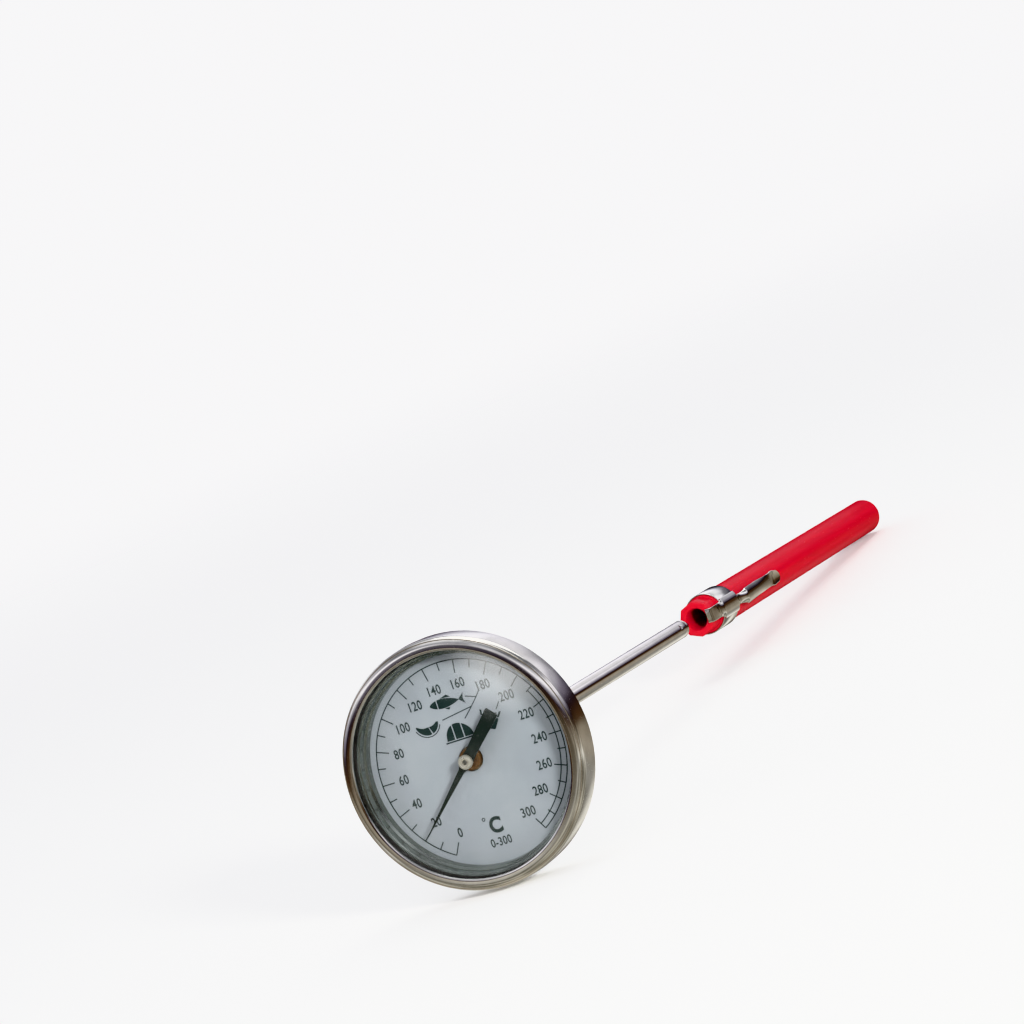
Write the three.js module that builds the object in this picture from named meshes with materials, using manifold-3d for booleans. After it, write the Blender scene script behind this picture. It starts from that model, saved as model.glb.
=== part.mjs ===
// Pocket dial thermometer with its push-on sheath, in millimetres.
// The stem lies along Y. The dial faces -Y, its 150 mark points to +Z, and the stem points to +Y.
// The part's origin is the stem's tip. The pieces are built with Y measured from the rear face of the
// hex nut, where the stem's insertion stops, and the assembly is moved by the stem's length at the end.

import * as THREE from "three";
import { mergeVertices } from "three/addons/utils/BufferGeometryUtils.js";
import Module from "manifold-3d";

const wasm = await Module();
wasm.setup();

// ---- Driving dimensions ----------------------------------------------------------------------

const CASE_RADIUS = 25.5;
const STEM_LENGTH = 127;
const STEM_RADIUS = 2;
const STEM_BORE_RADIUS = 1.65;
const CLEARANCE = 0.05; // between pieces that are fixed to each other
const ROUND = 48; // facets round the head
const SMALL_ROUND = 24; // facets round the stem and small pieces
const SHEATH_ROUND = 32; // facets round the sheath

// The hex nut and the neck that stands the head off it
const NUT_THICKNESS = 3.2;
const NUT_ACROSS_FLATS = 12.2;
const NUT_CHAMFER = 0.5;
const NECK_RADIUS = 2.6;
const NECK_FLANGE_RADIUS = 4;
const NECK_FLANGE_THICKNESS = 0.5;
const NECK_STANDOFF = 1.7;

// The head, from the case's back plate forward
const PLATE_THICKNESS = 0.6;
const CASE_WALL = 0.7;
const LIP_PROUD = 0.4; // how far the bezel's rolled rear lip stands behind the back plate
const LIP_RADIUS = 24; // inner radius of that lip
const BACK_Y = -(NUT_THICKNESS + NECK_STANDOFF + NECK_FLANGE_THICKNESS);
const FLOOR_Y = BACK_Y - PLATE_THICKNESS;
const DIAL_THICKNESS = 0.45;
const DIAL_GAP = 0.95; // from the case's floor to the dial plate's rear face
const DIAL_Y = FLOOR_Y - DIAL_GAP - DIAL_THICKNESS; // the printed face
const LENS_REAR_Y = DIAL_Y - 4.3;
const LENS_THICKNESS = 1;
const LENS_Y = LENS_REAR_Y - LENS_THICKNESS;
const BEZEL_THICKNESS = 0.6;
const FRONT_Y = LENS_Y - BEZEL_THICKNESS;
const BEZEL_SKIRT = 0.5;
const BEZEL_OPENING_RADIUS = 22.8;
const GASKET_THICKNESS = 0.4;
const GASKET_OVERLAP = 0.2; // how far the gasket reaches inside the bezel's opening
const LENS_INSET = 0.2; // from the lens's edge to the case's outer radius
const RIM_Y = LENS_REAR_Y + GASKET_THICKNESS;
const CASE_OUTER_RADIUS = CASE_RADIUS - BEZEL_SKIRT - CLEARANCE;
const CASE_INNER_RADIUS = CASE_OUTER_RADIUS - CASE_WALL;
const DIAL_OPENING_RADIUS = 21.3; // inner wall at the dial's face
const DIAL_RIM_GAP = 0.3; // from the dial plate's edge to the case's wall
const DIAL_HOLE_GAP = 0.25; // round the bearing bush, which the dial turns about

// Bearings and the pointer's shaft
const SHAFT_RADIUS = 0.5;
const SHAFT_BORE_RADIUS = 0.58;
const BUSH_RADIUS = STEM_BORE_RADIUS - CLEARANCE;
const BUSH_LENGTH = 3;
const UPPER_BUSH_Y = 22;
const LOWER_BUSH_Y = 66;
const NECK_TOP_Y = DIAL_Y + DIAL_THICKNESS + 0.1;
const BEARING_FLANGE_RADIUS = 2.25;
const BEARING_TOP_Y = DIAL_Y - 0.9;

// The washer and the open ring that hold the head on the neck
const WASHER_THICKNESS = 0.2;
const WASHER_RADIUS = 5.5;
const WASHER_REAR_Y = FLOOR_Y - CLEARANCE;
const RETAINER_THICKNESS = 0.5;
const RETAINER_RADIUS = 4.4;
const RETAINER_REAR_Y = WASHER_REAR_Y - WASHER_THICKNESS - CLEARANCE;

// The pointer, as it stands at the scale's reading at rest
const POINTER_REST_C = 18;
const TOP_C = 150; // one degree of turn for each degree Celsius, with 150 at the top
const BLADE_Y = DIAL_Y - 2.5; // rear face of the blade
const BLADE_THICKNESS = 0.25;
const HUB_RADIUS = 1.45;
const HUB_SPIGOT_RADIUS = 0.8;
const HUB_FRONT_Y = DIAL_Y - 3.9;
const NEEDLE_LENGTH = 18.2;
const TAIL_LENGTH = 11.8;

// The bimetal coil in the far part of the stem
const COIL_START_Y = 72.8;
const COIL_END_Y = 117.4;
const COIL_RADIUS = 1.35;
const COIL_THICKNESS = 0.25;
const COIL_WIDTH = 1.3;
const COIL_TURNS = 14;
const TIP_LENGTH = 5.5;
const TUBE_END_Y = STEM_LENGTH - TIP_LENGTH;

// The sheath. At rest it is drawn off the stem, and its closed end is as far from the stem's tip as
// the bezel is, which leaves about 6 mm between the tip and its mouth.
const SHEATH_LENGTH = 134;
const MOUTH_Y = 2 * STEM_LENGTH - FRONT_Y - SHEATH_LENGTH;
const SHEATH_RADIUS = 4.3;
const SHEATH_BORE_RADIUS = 3.2;
const SHEATH_BORE_DEPTH = 130.5;
const THROAT_RADIUS = 2.35;
const THROAT_DEPTH = 4;
const MOUTH_SECTION = 6; // length of the eight-sided part at the mouth
const MOUTH_ACROSS_FLATS = 7.7;

// The spring clip: a band round the sheath, a tab hooked over its mouth, and a tongue
const CLIP_SHEET = 0.4;
const BAND_LENGTH = 10;
const BAND_START_Y = MOUTH_Y + MOUTH_SECTION;
const BAND_END_Y = BAND_START_Y + BAND_LENGTH;
const BAND_INNER_RADIUS = SHEATH_RADIUS + 0.03;
const BAND_OUTER_RADIUS = BAND_INNER_RADIUS + CLIP_SHEET;
const BAND_HALF_ANGLE = THREE.MathUtils.degToRad(165);
const PANEL_HALF_ANGLE = THREE.MathUtils.degToRad(29);
const TAB_WIDTH = 3.2;
const TONGUE_WIDTH = 3.6;
const CLIP_NECK_WIDTH = 2.4;
const TONGUE_LENGTH = 29;
const CLIP_GAP = 0.3; // between the band and the tongue that flexes beside it

// ---- Materials -------------------------------------------------------------------------------

function finish(color, roughness, metalness) {
  return () => new THREE.MeshStandardMaterial({ color, roughness, metalness });
}

const polishedSteel = finish(0xb9b7b0, 0.18, 1);
const nickel = finish(0xc8c4b6, 0.3, 1);
const brass = finish(0x9a6a3a, 0.4, 1);
const springSteel = finish(0x8f9193, 0.35, 1);
const bimetal = finish(0x9c8c74, 0.4, 1);
const dialPrint = finish(0xb8c2cc, 0.6, 0);
const blackPaint = finish(0x1d211f, 0.5, 0);
const rubber = finish(0x1a1a1a, 0.9, 0);
const whitePlastic = finish(0xe8e6df, 0.6, 0);
const redPlastic = finish(0xd9202a, 0.3, 0);
const chrome = finish(0xcfcfcd, 0.1, 1);

function glass() {
  return new THREE.MeshStandardMaterial({
    color: 0xf4f7f8,
    roughness: 0.05,
    metalness: 0,
    transparent: true,
    opacity: 0.3,
  });
}

// ---- Geometry helpers ------------------------------------------------------------------------

// Points [radius, y] on an arc about (centreRadius, centreY), both ends included.
function arc(centreRadius, centreY, radius, fromDegrees, toDegrees, steps) {
  return Array.from({ length: steps + 1 }, (_, i) => {
    const a = THREE.MathUtils.degToRad(
      THREE.MathUtils.lerp(fromDegrees, toDegrees, i / steps),
    );
    return [centreRadius + radius * Math.cos(a), centreY + radius * Math.sin(a)];
  });
}

// Turns a profile of [radius, y] points about the Y axis. A profile off the axis is closed first.
function turned(profile, segments = SMALL_ROUND) {
  const points = profile.map(([r, y]) => new THREE.Vector2(r, y));
  if (THREE.ShapeUtils.area(points) < 0) points.reverse();
  const onAxis = points.filter((p) => p.x === 0).length > 1;
  if (onAxis) {
    const start = points.findIndex(
      (p, i) => p.x === 0 && points[(i + 1) % points.length].x > 0,
    );
    points.push(...points.splice(0, start));
  } else {
    points.push(points[0].clone());
  }
  return new THREE.LatheGeometry(points, segments);
}

// A plain ring with square edges.
function ring(inner, outer, low, high, segments = SMALL_ROUND) {
  return turned(
    [
      [inner, low],
      [outer, low],
      [outer, high],
      [inner, high],
    ],
    segments,
  );
}

// A shape drawn in X and Z, given thickness along Y.
function thickAlongY(shape, low, high, curveSegments = 8) {
  return new THREE.ExtrudeGeometry(shape, {
    depth: high - low,
    bevelEnabled: false,
    curveSegments,
  })
    .rotateX(Math.PI / 2)
    .translate(0, high, 0);
}

// A shape drawn in Y and X, given width along Z, centred on Z = 0.
function wideAlongZ(shape, width) {
  const turn = new THREE.Matrix4().makeBasis(
    new THREE.Vector3(0, 1, 0),
    new THREE.Vector3(1, 0, 0),
    new THREE.Vector3(0, 0, -1),
  );
  return new THREE.ExtrudeGeometry(shape, { depth: width, bevelEnabled: false })
    .translate(0, 0, -width / 2)
    .applyMatrix4(turn);
}

// A shape drawn in Y and Z, given height along X.
function highAlongX(shape, low, high) {
  const turn = new THREE.Matrix4().makeBasis(
    new THREE.Vector3(0, 1, 0),
    new THREE.Vector3(0, 0, 1),
    new THREE.Vector3(1, 0, 0),
  );
  return new THREE.ExtrudeGeometry(shape, {
    depth: high - low,
    bevelEnabled: false,
  })
    .translate(0, 0, low)
    .applyMatrix4(turn);
}

// A strip of sheet along a centre line of [along, out] points, mitred at its bends.
function strip(line, thickness) {
  const points = line.map(([along, out]) => new THREE.Vector2(along, out));
  const normal = (a, b) => {
    const d = b.clone().sub(a).normalize();
    return new THREE.Vector2(-d.y, d.x);
  };
  const offset = (side) =>
    points.map((p, i) => {
      const before = normal(points[Math.max(i - 1, 0)], points[Math.max(i, 1)]);
      const last = points.length - 1;
      const after = normal(
        points[Math.min(i, last - 1)],
        points[Math.min(i + 1, last)],
      );
      const mitre = before.clone().add(after).normalize();
      const reach = thickness / 2 / mitre.dot(before);
      return p.clone().addScaledVector(mitre, side * reach);
    });
  return new THREE.Shape([...offset(1), ...offset(-1).reverse()]);
}

// A sector of a ring in the XZ plane, centred on +X, given length along Y.
function ringSector(inner, outer, halfAngle, low, high, curveSegments) {
  const shape = new THREE.Shape();
  shape.absarc(0, 0, outer, -halfAngle, halfAngle, false);
  shape.absarc(0, 0, inner, halfAngle, -halfAngle, true);
  shape.closePath();
  return thickAlongY(shape, low, high, curveSegments);
}

// ---- Booleans --------------------------------------------------------------------------------

function toSolid(geometry) {
  const bare = geometry.index ? geometry.toNonIndexed() : geometry.clone();
  bare.deleteAttribute("normal");
  bare.deleteAttribute("uv");
  const merged = mergeVertices(bare, 1e-4);
  return new wasm.Manifold(
    new wasm.Mesh({
      numProp: 3,
      vertProperties: merged.attributes.position.array,
      triVerts: new Uint32Array(merged.index.array),
    }),
  );
}

function toGeometry(solid) {
  const mesh = solid.getMesh();
  const geometry = new THREE.BufferGeometry();
  const positions = new THREE.BufferAttribute(mesh.vertProperties, mesh.numProp);
  geometry.setAttribute("position", positions);
  geometry.setIndex(new THREE.BufferAttribute(mesh.triVerts, 1));
  geometry.computeVertexNormals();
  return geometry;
}

// ---- The head --------------------------------------------------------------------------------

// One ring of sheet: flat front flange, straight side band, and a rear lip rolled over the case.
function bezelRing() {
  const rearY = BACK_Y + LIP_PROUD;
  const frontRound = 1.1;
  const rearRound = 0.9;
  const mouthChamfer = 0.2;
  const lipChamfer = 0.1;
  const foldRoom = 0.4; // keeps the lip's fold clear of the case's rounded corner
  const innerRadius = CASE_RADIUS - BEZEL_SKIRT;
  return turned(
    [
      [BEZEL_OPENING_RADIUS, LENS_Y],
      [BEZEL_OPENING_RADIUS, FRONT_Y + mouthChamfer],
      [BEZEL_OPENING_RADIUS + mouthChamfer, FRONT_Y],
      ...arc(CASE_RADIUS - frontRound, FRONT_Y + frontRound, frontRound, -90, 0, 4),
      ...arc(CASE_RADIUS - rearRound, rearY - rearRound, rearRound, 0, 90, 4),
      [LIP_RADIUS + lipChamfer, rearY],
      [LIP_RADIUS, rearY - lipChamfer],
      [LIP_RADIUS, BACK_Y + CLEARANCE],
      [innerRadius - foldRoom, BACK_Y + CLEARANCE],
      [innerRadius, BACK_Y - foldRoom],
      [innerRadius, LENS_Y],
    ],
    ROUND,
  );
}

// A drawn cup with a hole for the neck at the middle of its back plate.
function caseCup() {
  const holeRadius = NECK_RADIUS + 0.3;
  const corner = 0.6;
  return turned(
    [
      [holeRadius, FLOOR_Y],
      [holeRadius, BACK_Y],
      ...arc(CASE_OUTER_RADIUS - corner, BACK_Y - corner, corner, 90, 0, 3),
      [CASE_OUTER_RADIUS, RIM_Y],
      [CASE_INNER_RADIUS, RIM_Y],
      ...arc(CASE_INNER_RADIUS - corner, FLOOR_Y - corner, corner, 0, 90, 2),
    ],
    ROUND,
  );
}

function lens() {
  const radius = CASE_OUTER_RADIUS - LENS_INSET;
  return turned(
    [
      [0, LENS_Y],
      [radius, LENS_Y],
      [radius, LENS_REAR_Y],
      [0, LENS_REAR_Y],
    ],
    ROUND,
  );
}

function lensGasket() {
  const inner = BEZEL_OPENING_RADIUS - GASKET_OVERLAP;
  return ring(inner, CASE_OUTER_RADIUS - LENS_INSET, LENS_REAR_Y, RIM_Y, ROUND);
}

// The bright inner wall between the dial and the lens. It widens towards the lens in two steps.
function spacerRing() {
  const outer = CASE_INNER_RADIUS - CLEARANCE;
  const stepY = DIAL_Y - 1.7;
  const stepDepth = 0.3;
  const draft = 0.15;
  const stepRadius = DIAL_OPENING_RADIUS + 0.65;
  const rimLand = 0.4; // between the inner wall's mouth and the bezel's opening
  return turned(
    [
      [outer, DIAL_Y],
      [DIAL_OPENING_RADIUS, DIAL_Y],
      [DIAL_OPENING_RADIUS + draft, stepY],
      [stepRadius, stepY - stepDepth],
      [BEZEL_OPENING_RADIUS - rimLand, RIM_Y],
      [outer, RIM_Y],
    ],
    ROUND,
  );
}

function dialPlate() {
  const holeRadius = BEARING_FLANGE_RADIUS + DIAL_HOLE_GAP;
  const outer = CASE_INNER_RADIUS - DIAL_RIM_GAP;
  return ring(holeRadius, outer, DIAL_Y, DIAL_Y + DIAL_THICKNESS, ROUND);
}

// ---- The stem --------------------------------------------------------------------------------

function hexNut() {
  const flatToFlat = NUT_ACROSS_FLATS / 2;
  const cornerRadius = flatToFlat / Math.cos(Math.PI / 6);
  const middleY = -NUT_THICKNESS / 2;
  const blank = new THREE.CylinderGeometry(cornerRadius, cornerRadius, NUT_THICKNESS, 6)
    .rotateY(Math.PI / 6)
    .translate(0, middleY, 0);
  const chamferRadius = flatToFlat + 0.05;
  const roundedRadius = cornerRadius - 0.25; // takes the sharp edge off the six corners
  const overshoot = 1; // of the cutter past each face
  const envelope = turned(
    [
      [0, -NUT_THICKNESS],
      [chamferRadius, -NUT_THICKNESS],
      [roundedRadius, NUT_CHAMFER - NUT_THICKNESS],
      [roundedRadius, -NUT_CHAMFER],
      [chamferRadius, 0],
      [0, 0],
    ],
    ROUND,
  );
  const boreRadius = NECK_RADIUS + CLEARANCE;
  const bore = turned([
    [0, -NUT_THICKNESS - overshoot],
    [boreRadius, -NUT_THICKNESS - overshoot],
    [boreRadius, overshoot],
    [0, overshoot],
  ]);
  return toGeometry(
    toSolid(blank).intersect(toSolid(envelope)).subtract(toSolid(bore)),
  );
}

// The sleeve that carries the nut outside the case and the retaining clip inside it.
function stemNeck() {
  const bore = STEM_RADIUS + CLEARANCE;
  const flangeY = -(NUT_THICKNESS + NECK_STANDOFF);
  const insideRadius = NECK_RADIUS - 0.1;
  const grooveRadius = NECK_RADIUS - 0.3;
  const grooveSlack = 0.03;
  const grooveRearY = RETAINER_REAR_Y + grooveSlack;
  const grooveFrontY = RETAINER_REAR_Y - RETAINER_THICKNESS - grooveSlack;
  const endChamfer = 0.2;
  return turned([
    [bore, NECK_TOP_Y],
    [bore, 0],
    [NECK_RADIUS - endChamfer, 0],
    [NECK_RADIUS, -endChamfer],
    [NECK_RADIUS, flangeY],
    [NECK_FLANGE_RADIUS, flangeY],
    [NECK_FLANGE_RADIUS, flangeY - NECK_FLANGE_THICKNESS + CLEARANCE],
    [insideRadius, flangeY - NECK_FLANGE_THICKNESS + CLEARANCE],
    [insideRadius, grooveRearY],
    [grooveRadius, grooveRearY],
    [grooveRadius, grooveFrontY],
    [insideRadius, grooveFrontY],
    [insideRadius, NECK_TOP_Y],
  ]);
}

function frictionWasher() {
  return ring(NECK_RADIUS, WASHER_RADIUS, WASHER_REAR_Y - WASHER_THICKNESS, WASHER_REAR_Y);
}

// An open ring snapped into the neck's groove. Its opening faces -X.
function retainingClip() {
  const inner = NECK_RADIUS - 0.25; // just clear of the groove's floor
  const halfAngle = THREE.MathUtils.degToRad(150);
  return ringSector(
    inner,
    RETAINER_RADIUS,
    halfAngle,
    RETAINER_REAR_Y - RETAINER_THICKNESS,
    RETAINER_REAR_Y,
    SMALL_ROUND,
  );
}

function stemTube() {
  const startY = NECK_TOP_Y + 0.4; // set back from the neck's front end, under the bush's flange
  return ring(STEM_BORE_RADIUS, STEM_RADIUS, startY, TUBE_END_Y);
}

// The pointed plug that closes the tube.
function stemTip() {
  const spigotY = TUBE_END_Y - 1.4;
  const coneY = TUBE_END_Y + 0.7;
  const bluntRadius = 0.45;
  return turned([
    [0, spigotY],
    [BUSH_RADIUS, spigotY],
    [BUSH_RADIUS, TUBE_END_Y],
    [STEM_RADIUS, TUBE_END_Y],
    [STEM_RADIUS, coneY],
    ...arc(0, STEM_LENGTH - bluntRadius, bluntRadius, 20, 90, 3).slice(0, -1),
    [0, STEM_LENGTH],
  ]);
}

// The brass bush at the middle of the dial, with a spigot inside the tube.
function bearingBush() {
  const spigotEndY = NECK_TOP_Y + 2.3;
  const flangeRearY = NECK_TOP_Y - CLEARANCE;
  const chamfer = 0.25;
  return turned([
    [SHAFT_BORE_RADIUS, spigotEndY],
    [BUSH_RADIUS, spigotEndY],
    [BUSH_RADIUS, flangeRearY],
    [BEARING_FLANGE_RADIUS, flangeRearY],
    [BEARING_FLANGE_RADIUS, BEARING_TOP_Y + chamfer],
    [BEARING_FLANGE_RADIUS - chamfer, BEARING_TOP_Y],
    [SHAFT_BORE_RADIUS, BEARING_TOP_Y],
  ]);
}

function guideBush(startY) {
  return ring(SHAFT_BORE_RADIUS, BUSH_RADIUS, startY, startY + BUSH_LENGTH);
}

// The plug that holds the coil's far end, with a pin up its middle.
function coilAnchor() {
  const plugY = COIL_END_Y + 0.8;
  const plugEndY = plugY + 1.7;
  const pinY = plugY - 1.6;
  const pinRadius = 0.5;
  return turned([
    [0, pinY],
    [pinRadius, pinY],
    [pinRadius, plugY],
    [BUSH_RADIUS, plugY],
    [BUSH_RADIUS, plugEndY],
    [0, plugEndY],
  ]);
}

// ---- The pointer -----------------------------------------------------------------------------

// A long needle and a broad short tail round the hub, drawn pointing up.
function pointerBlade() {
  const ear = 1.3; // half width round the hub
  const shape = new THREE.Shape();
  shape.moveTo(0, NEEDLE_LENGTH);
  shape.lineTo(-0.75, 1.6);
  shape.lineTo(-ear, 0.6);
  shape.lineTo(-ear, -0.8);
  shape.lineTo(-1.15, -2);
  shape.lineTo(-1.5, -TAIL_LENGTH);
  shape.lineTo(1.5, -TAIL_LENGTH);
  shape.lineTo(1.15, -2);
  shape.lineTo(ear, -0.8);
  shape.lineTo(ear, 0.6);
  shape.lineTo(0.75, 1.6);
  shape.closePath();
  const hole = new THREE.Path();
  hole.absarc(0, 0, HUB_SPIGOT_RADIUS + CLEARANCE, 0, 2 * Math.PI, true);
  shape.holes.push(hole);
  return thickAlongY(shape, BLADE_Y - BLADE_THICKNESS, BLADE_Y);
}

// Riveted through the blade, with the end of the shaft showing in its bore.
function pointerHub() {
  const bore = SHAFT_RADIUS + 0.03;
  const chamfer = 0.35;
  const rearY = BLADE_Y + 0.6;
  const rivetRadius = HUB_RADIUS - 0.2;
  const slack = 0.02; // between the blade and each shoulder
  const bladeRearY = BLADE_Y + slack;
  const bladeFrontY = BLADE_Y - BLADE_THICKNESS - slack;
  return turned([
    [bore, rearY],
    [rivetRadius, rearY],
    [rivetRadius, bladeRearY],
    [HUB_SPIGOT_RADIUS, bladeRearY],
    [HUB_SPIGOT_RADIUS, bladeFrontY],
    [HUB_RADIUS, bladeFrontY],
    [HUB_RADIUS, HUB_FRONT_Y + chamfer],
    [HUB_RADIUS - chamfer, HUB_FRONT_Y],
    [bore, HUB_FRONT_Y],
  ]);
}

// The rod from the hub to the coil, with the coil's carrier at its far end.
function pointerShaft() {
  const frontY = HUB_FRONT_Y + 0.25;
  const carrierY = COIL_START_Y - 1.8;
  const carrierEndY = carrierY + 1.5;
  const carrierRadius = COIL_RADIUS - 0.1;
  const facets = 16;
  return turned(
    [
      [0, frontY],
      [SHAFT_RADIUS, frontY],
      [SHAFT_RADIUS, carrierY],
      [carrierRadius, carrierY],
      [carrierRadius, carrierEndY],
      [0, carrierEndY],
    ],
    facets,
  );
}

// A ribbon wound into a helix. Each cross-section is a rectangle across the radius.
function bimetalCoil() {
  const stepsPerTurn = 10;
  const steps = COIL_TURNS * stepsPerTurn;
  const travel = COIL_END_Y - COIL_START_Y - COIL_WIDTH;
  const inner = COIL_RADIUS - COIL_THICKNESS;
  const positions = [];
  const faces = [];
  for (let i = 0; i <= steps; i++) {
    const angle = (2 * Math.PI * i) / stepsPerTurn;
    const low = COIL_START_Y + (travel * i) / steps;
    for (const [r, y] of [
      [inner, low],
      [COIL_RADIUS, low],
      [COIL_RADIUS, low + COIL_WIDTH],
      [inner, low + COIL_WIDTH],
    ]) {
      positions.push(r * Math.sin(angle), y, r * Math.cos(angle));
    }
    if (i === steps) break;
    for (let side = 0; side < 4; side++) {
      const a = 4 * i + side;
      const b = 4 * i + ((side + 1) % 4);
      faces.push(a, a + 4, b + 4, a, b + 4, b);
    }
  }
  const end = 4 * steps;
  faces.push(0, 1, 2, 0, 2, 3);
  faces.push(end, end + 2, end + 1, end, end + 3, end + 2);
  const geometry = new THREE.BufferGeometry();
  geometry.setAttribute("position", new THREE.Float32BufferAttribute(positions, 3));
  geometry.setIndex(faces);
  geometry.computeVertexNormals();
  return geometry;
}

// ---- The sheath ------------------------------------------------------------------------------

// A round tube with a closed far end and an eight-sided mouth.
function sheathTube() {
  const endY = MOUTH_Y + SHEATH_LENGTH;
  const endRound = 1;
  const crown = 0.5; // how far the closed end bulges
  const outside = turned(
    [
      [0, BAND_START_Y],
      [SHEATH_RADIUS, BAND_START_Y],
      ...arc(SHEATH_RADIUS - endRound, endY - crown - endRound, endRound, 0, 75, 3),
      [SHEATH_RADIUS / 2, endY - 0.15],
      [0, endY],
    ],
    SHEATH_ROUND,
  );
  const sides = 8;
  const cornerRadius = MOUTH_ACROSS_FLATS / 2 / Math.cos(Math.PI / sides);
  const overlap = 1; // of the mouth's prism inside the tube, and of the cutter past the mouth
  const mouth = new THREE.CylinderGeometry(
    cornerRadius,
    cornerRadius,
    MOUTH_SECTION + overlap,
    sides,
  )
    .rotateY(Math.PI / sides)
    .translate(0, MOUTH_Y + (MOUTH_SECTION + overlap) / 2, 0);
  const leadRadius = THROAT_RADIUS + 0.3;
  const leadDepth = 0.5;
  const boreEnd = 1; // length of the bore's conical end
  const bore = turned(
    [
      [0, MOUTH_Y - overlap],
      [leadRadius, MOUTH_Y - overlap],
      [leadRadius, MOUTH_Y],
      [THROAT_RADIUS, MOUTH_Y + leadDepth],
      [THROAT_RADIUS, MOUTH_Y + THROAT_DEPTH],
      [SHEATH_BORE_RADIUS, MOUTH_Y + MOUTH_SECTION + overlap],
      [SHEATH_BORE_RADIUS, MOUTH_Y + SHEATH_BORE_DEPTH - boreEnd],
      [0, MOUTH_Y + SHEATH_BORE_DEPTH],
    ],
    SHEATH_ROUND,
  );
  return toGeometry(
    toSolid(outside).add(toSolid(mouth)).subtract(toSolid(bore)),
  );
}

// The band, its raised panel, and the tab that hooks over the sheath's mouth.
function clipBand() {
  const sleeve = ringSector(
    BAND_INNER_RADIUS,
    BAND_OUTER_RADIUS,
    BAND_HALF_ANGLE,
    BAND_START_Y,
    BAND_END_Y,
    SHEATH_ROUND,
  );
  const panelInset = 0.2;
  const panel = ringSector(
    BAND_OUTER_RADIUS - CLEARANCE,
    BAND_OUTER_RADIUS + CLIP_SHEET,
    PANEL_HALF_ANGLE,
    BAND_START_Y + panelInset,
    BAND_END_Y - panelInset,
    6,
  );
  const tabOut = MOUTH_ACROSS_FLATS / 2 + CLEARANCE + CLIP_SHEET / 2;
  const tabRoot = BAND_OUTER_RADIUS + 0.15;
  const hookY = MOUTH_Y - 0.1 - CLIP_SHEET / 2;
  const hookEnd = THROAT_RADIUS + 0.35;
  const tab = strip(
    [
      [BAND_START_Y + 1.5, tabRoot],
      [BAND_START_Y + panelInset, tabRoot],
      [BAND_START_Y - 0.7, tabOut],
      [hookY, tabOut],
      [hookY, hookEnd],
    ],
    CLIP_SHEET,
  );
  return toGeometry(
    toSolid(sleeve).add(toSolid(panel)).add(toSolid(wideAlongZ(tab, TAB_WIDTH))),
  );
}

// The tongue: it leaves the band low, steps up, runs back to the sheath and ends in a curled foot.
function clipArm() {
  const startY = BAND_END_Y + CLIP_GAP;
  const endY = startY + TONGUE_LENGTH;
  const low = BAND_OUTER_RADIUS + 0.05;
  const high = SHEATH_RADIUS + 2.1;
  const contact = SHEATH_RADIUS + CLIP_GAP + CLIP_SHEET / 2;
  const side = strip(
    [
      [startY, low],
      [startY + 1.3, low],
      [startY + 2.6, high],
      [startY + 3.6, high + 0.1],
      [startY + 14, (high + contact) / 2 + 0.2],
      [endY - 4.5, contact],
      [endY - 2.6, contact + 0.15],
      [endY - 0.9, contact + 0.75],
      [endY, contact + 1.5],
    ],
    CLIP_SHEET,
  );
  const plan = new THREE.Shape();
  const outline = [
    [startY - 1, CLIP_NECK_WIDTH / 2],
    [startY + 1.6, CLIP_NECK_WIDTH / 2],
    [startY + 2.8, TONGUE_WIDTH / 2],
    [endY - 6, TONGUE_WIDTH / 2 - 0.3],
    [endY - 3, TONGUE_WIDTH / 2],
    [endY - 0.8, TONGUE_WIDTH / 2 - 0.4],
    [endY + 1, TONGUE_WIDTH / 2 - 1.2],
  ];
  outline.forEach(([y, z]) => plan.lineTo(y, -z));
  [...outline].reverse().forEach(([y, z]) => plan.lineTo(y, z));
  plan.closePath();
  const wide = wideAlongZ(side, TONGUE_WIDTH + 2);
  return toGeometry(toSolid(wide).intersect(toSolid(highAlongX(plan, 0, 20))));
}

// ---- Assembly --------------------------------------------------------------------------------

function piece(name, geometry, material) {
  const mesh = new THREE.Mesh(geometry, material());
  mesh.name = name;
  return mesh;
}

const head = new THREE.Group();
head.add(
  piece("bezel_ring", bezelRing(), polishedSteel),
  piece("lens", lens(), glass),
  piece("lens_gasket", lensGasket(), rubber),
  piece("spacer_ring", spacerRing(), polishedSteel),
  piece("dial_plate", dialPlate(), dialPrint),
  piece("case_cup", caseCup(), polishedSteel),
);

const stem = new THREE.Group();
stem.add(
  piece("hex_nut", hexNut(), nickel),
  piece("stem_neck", stemNeck(), nickel),
  piece("friction_washer", frictionWasher(), springSteel),
  piece("retaining_clip", retainingClip(), springSteel),
  piece("stem_tube", stemTube(), polishedSteel),
  piece("stem_tip", stemTip(), polishedSteel),
  piece("bearing_bush", bearingBush(), brass),
  piece("upper_guide_bush", guideBush(UPPER_BUSH_Y), whitePlastic),
  piece("lower_guide_bush", guideBush(LOWER_BUSH_Y), whitePlastic),
  piece("coil_anchor", coilAnchor(), brass),
);

const pointer = new THREE.Group();
pointer.rotation.y = THREE.MathUtils.degToRad(POINTER_REST_C - TOP_C);
pointer.add(
  piece("pointer_blade", pointerBlade(), blackPaint),
  piece("pointer_hub", pointerHub(), nickel),
  piece("pointer_shaft", pointerShaft(), springSteel),
  piece("bimetal_coil", bimetalCoil(), bimetal),
);

const sheath = new THREE.Group();
sheath.add(
  piece("sheath_tube", sheathTube(), redPlastic),
  piece("clip_band", clipBand(), chrome),
  piece("clip_arm", clipArm(), chrome),
);

const thermometer = new THREE.Group();
thermometer.position.y = -STEM_LENGTH;
thermometer.add(head, stem, pointer, sheath);

export default thermometer;
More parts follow.
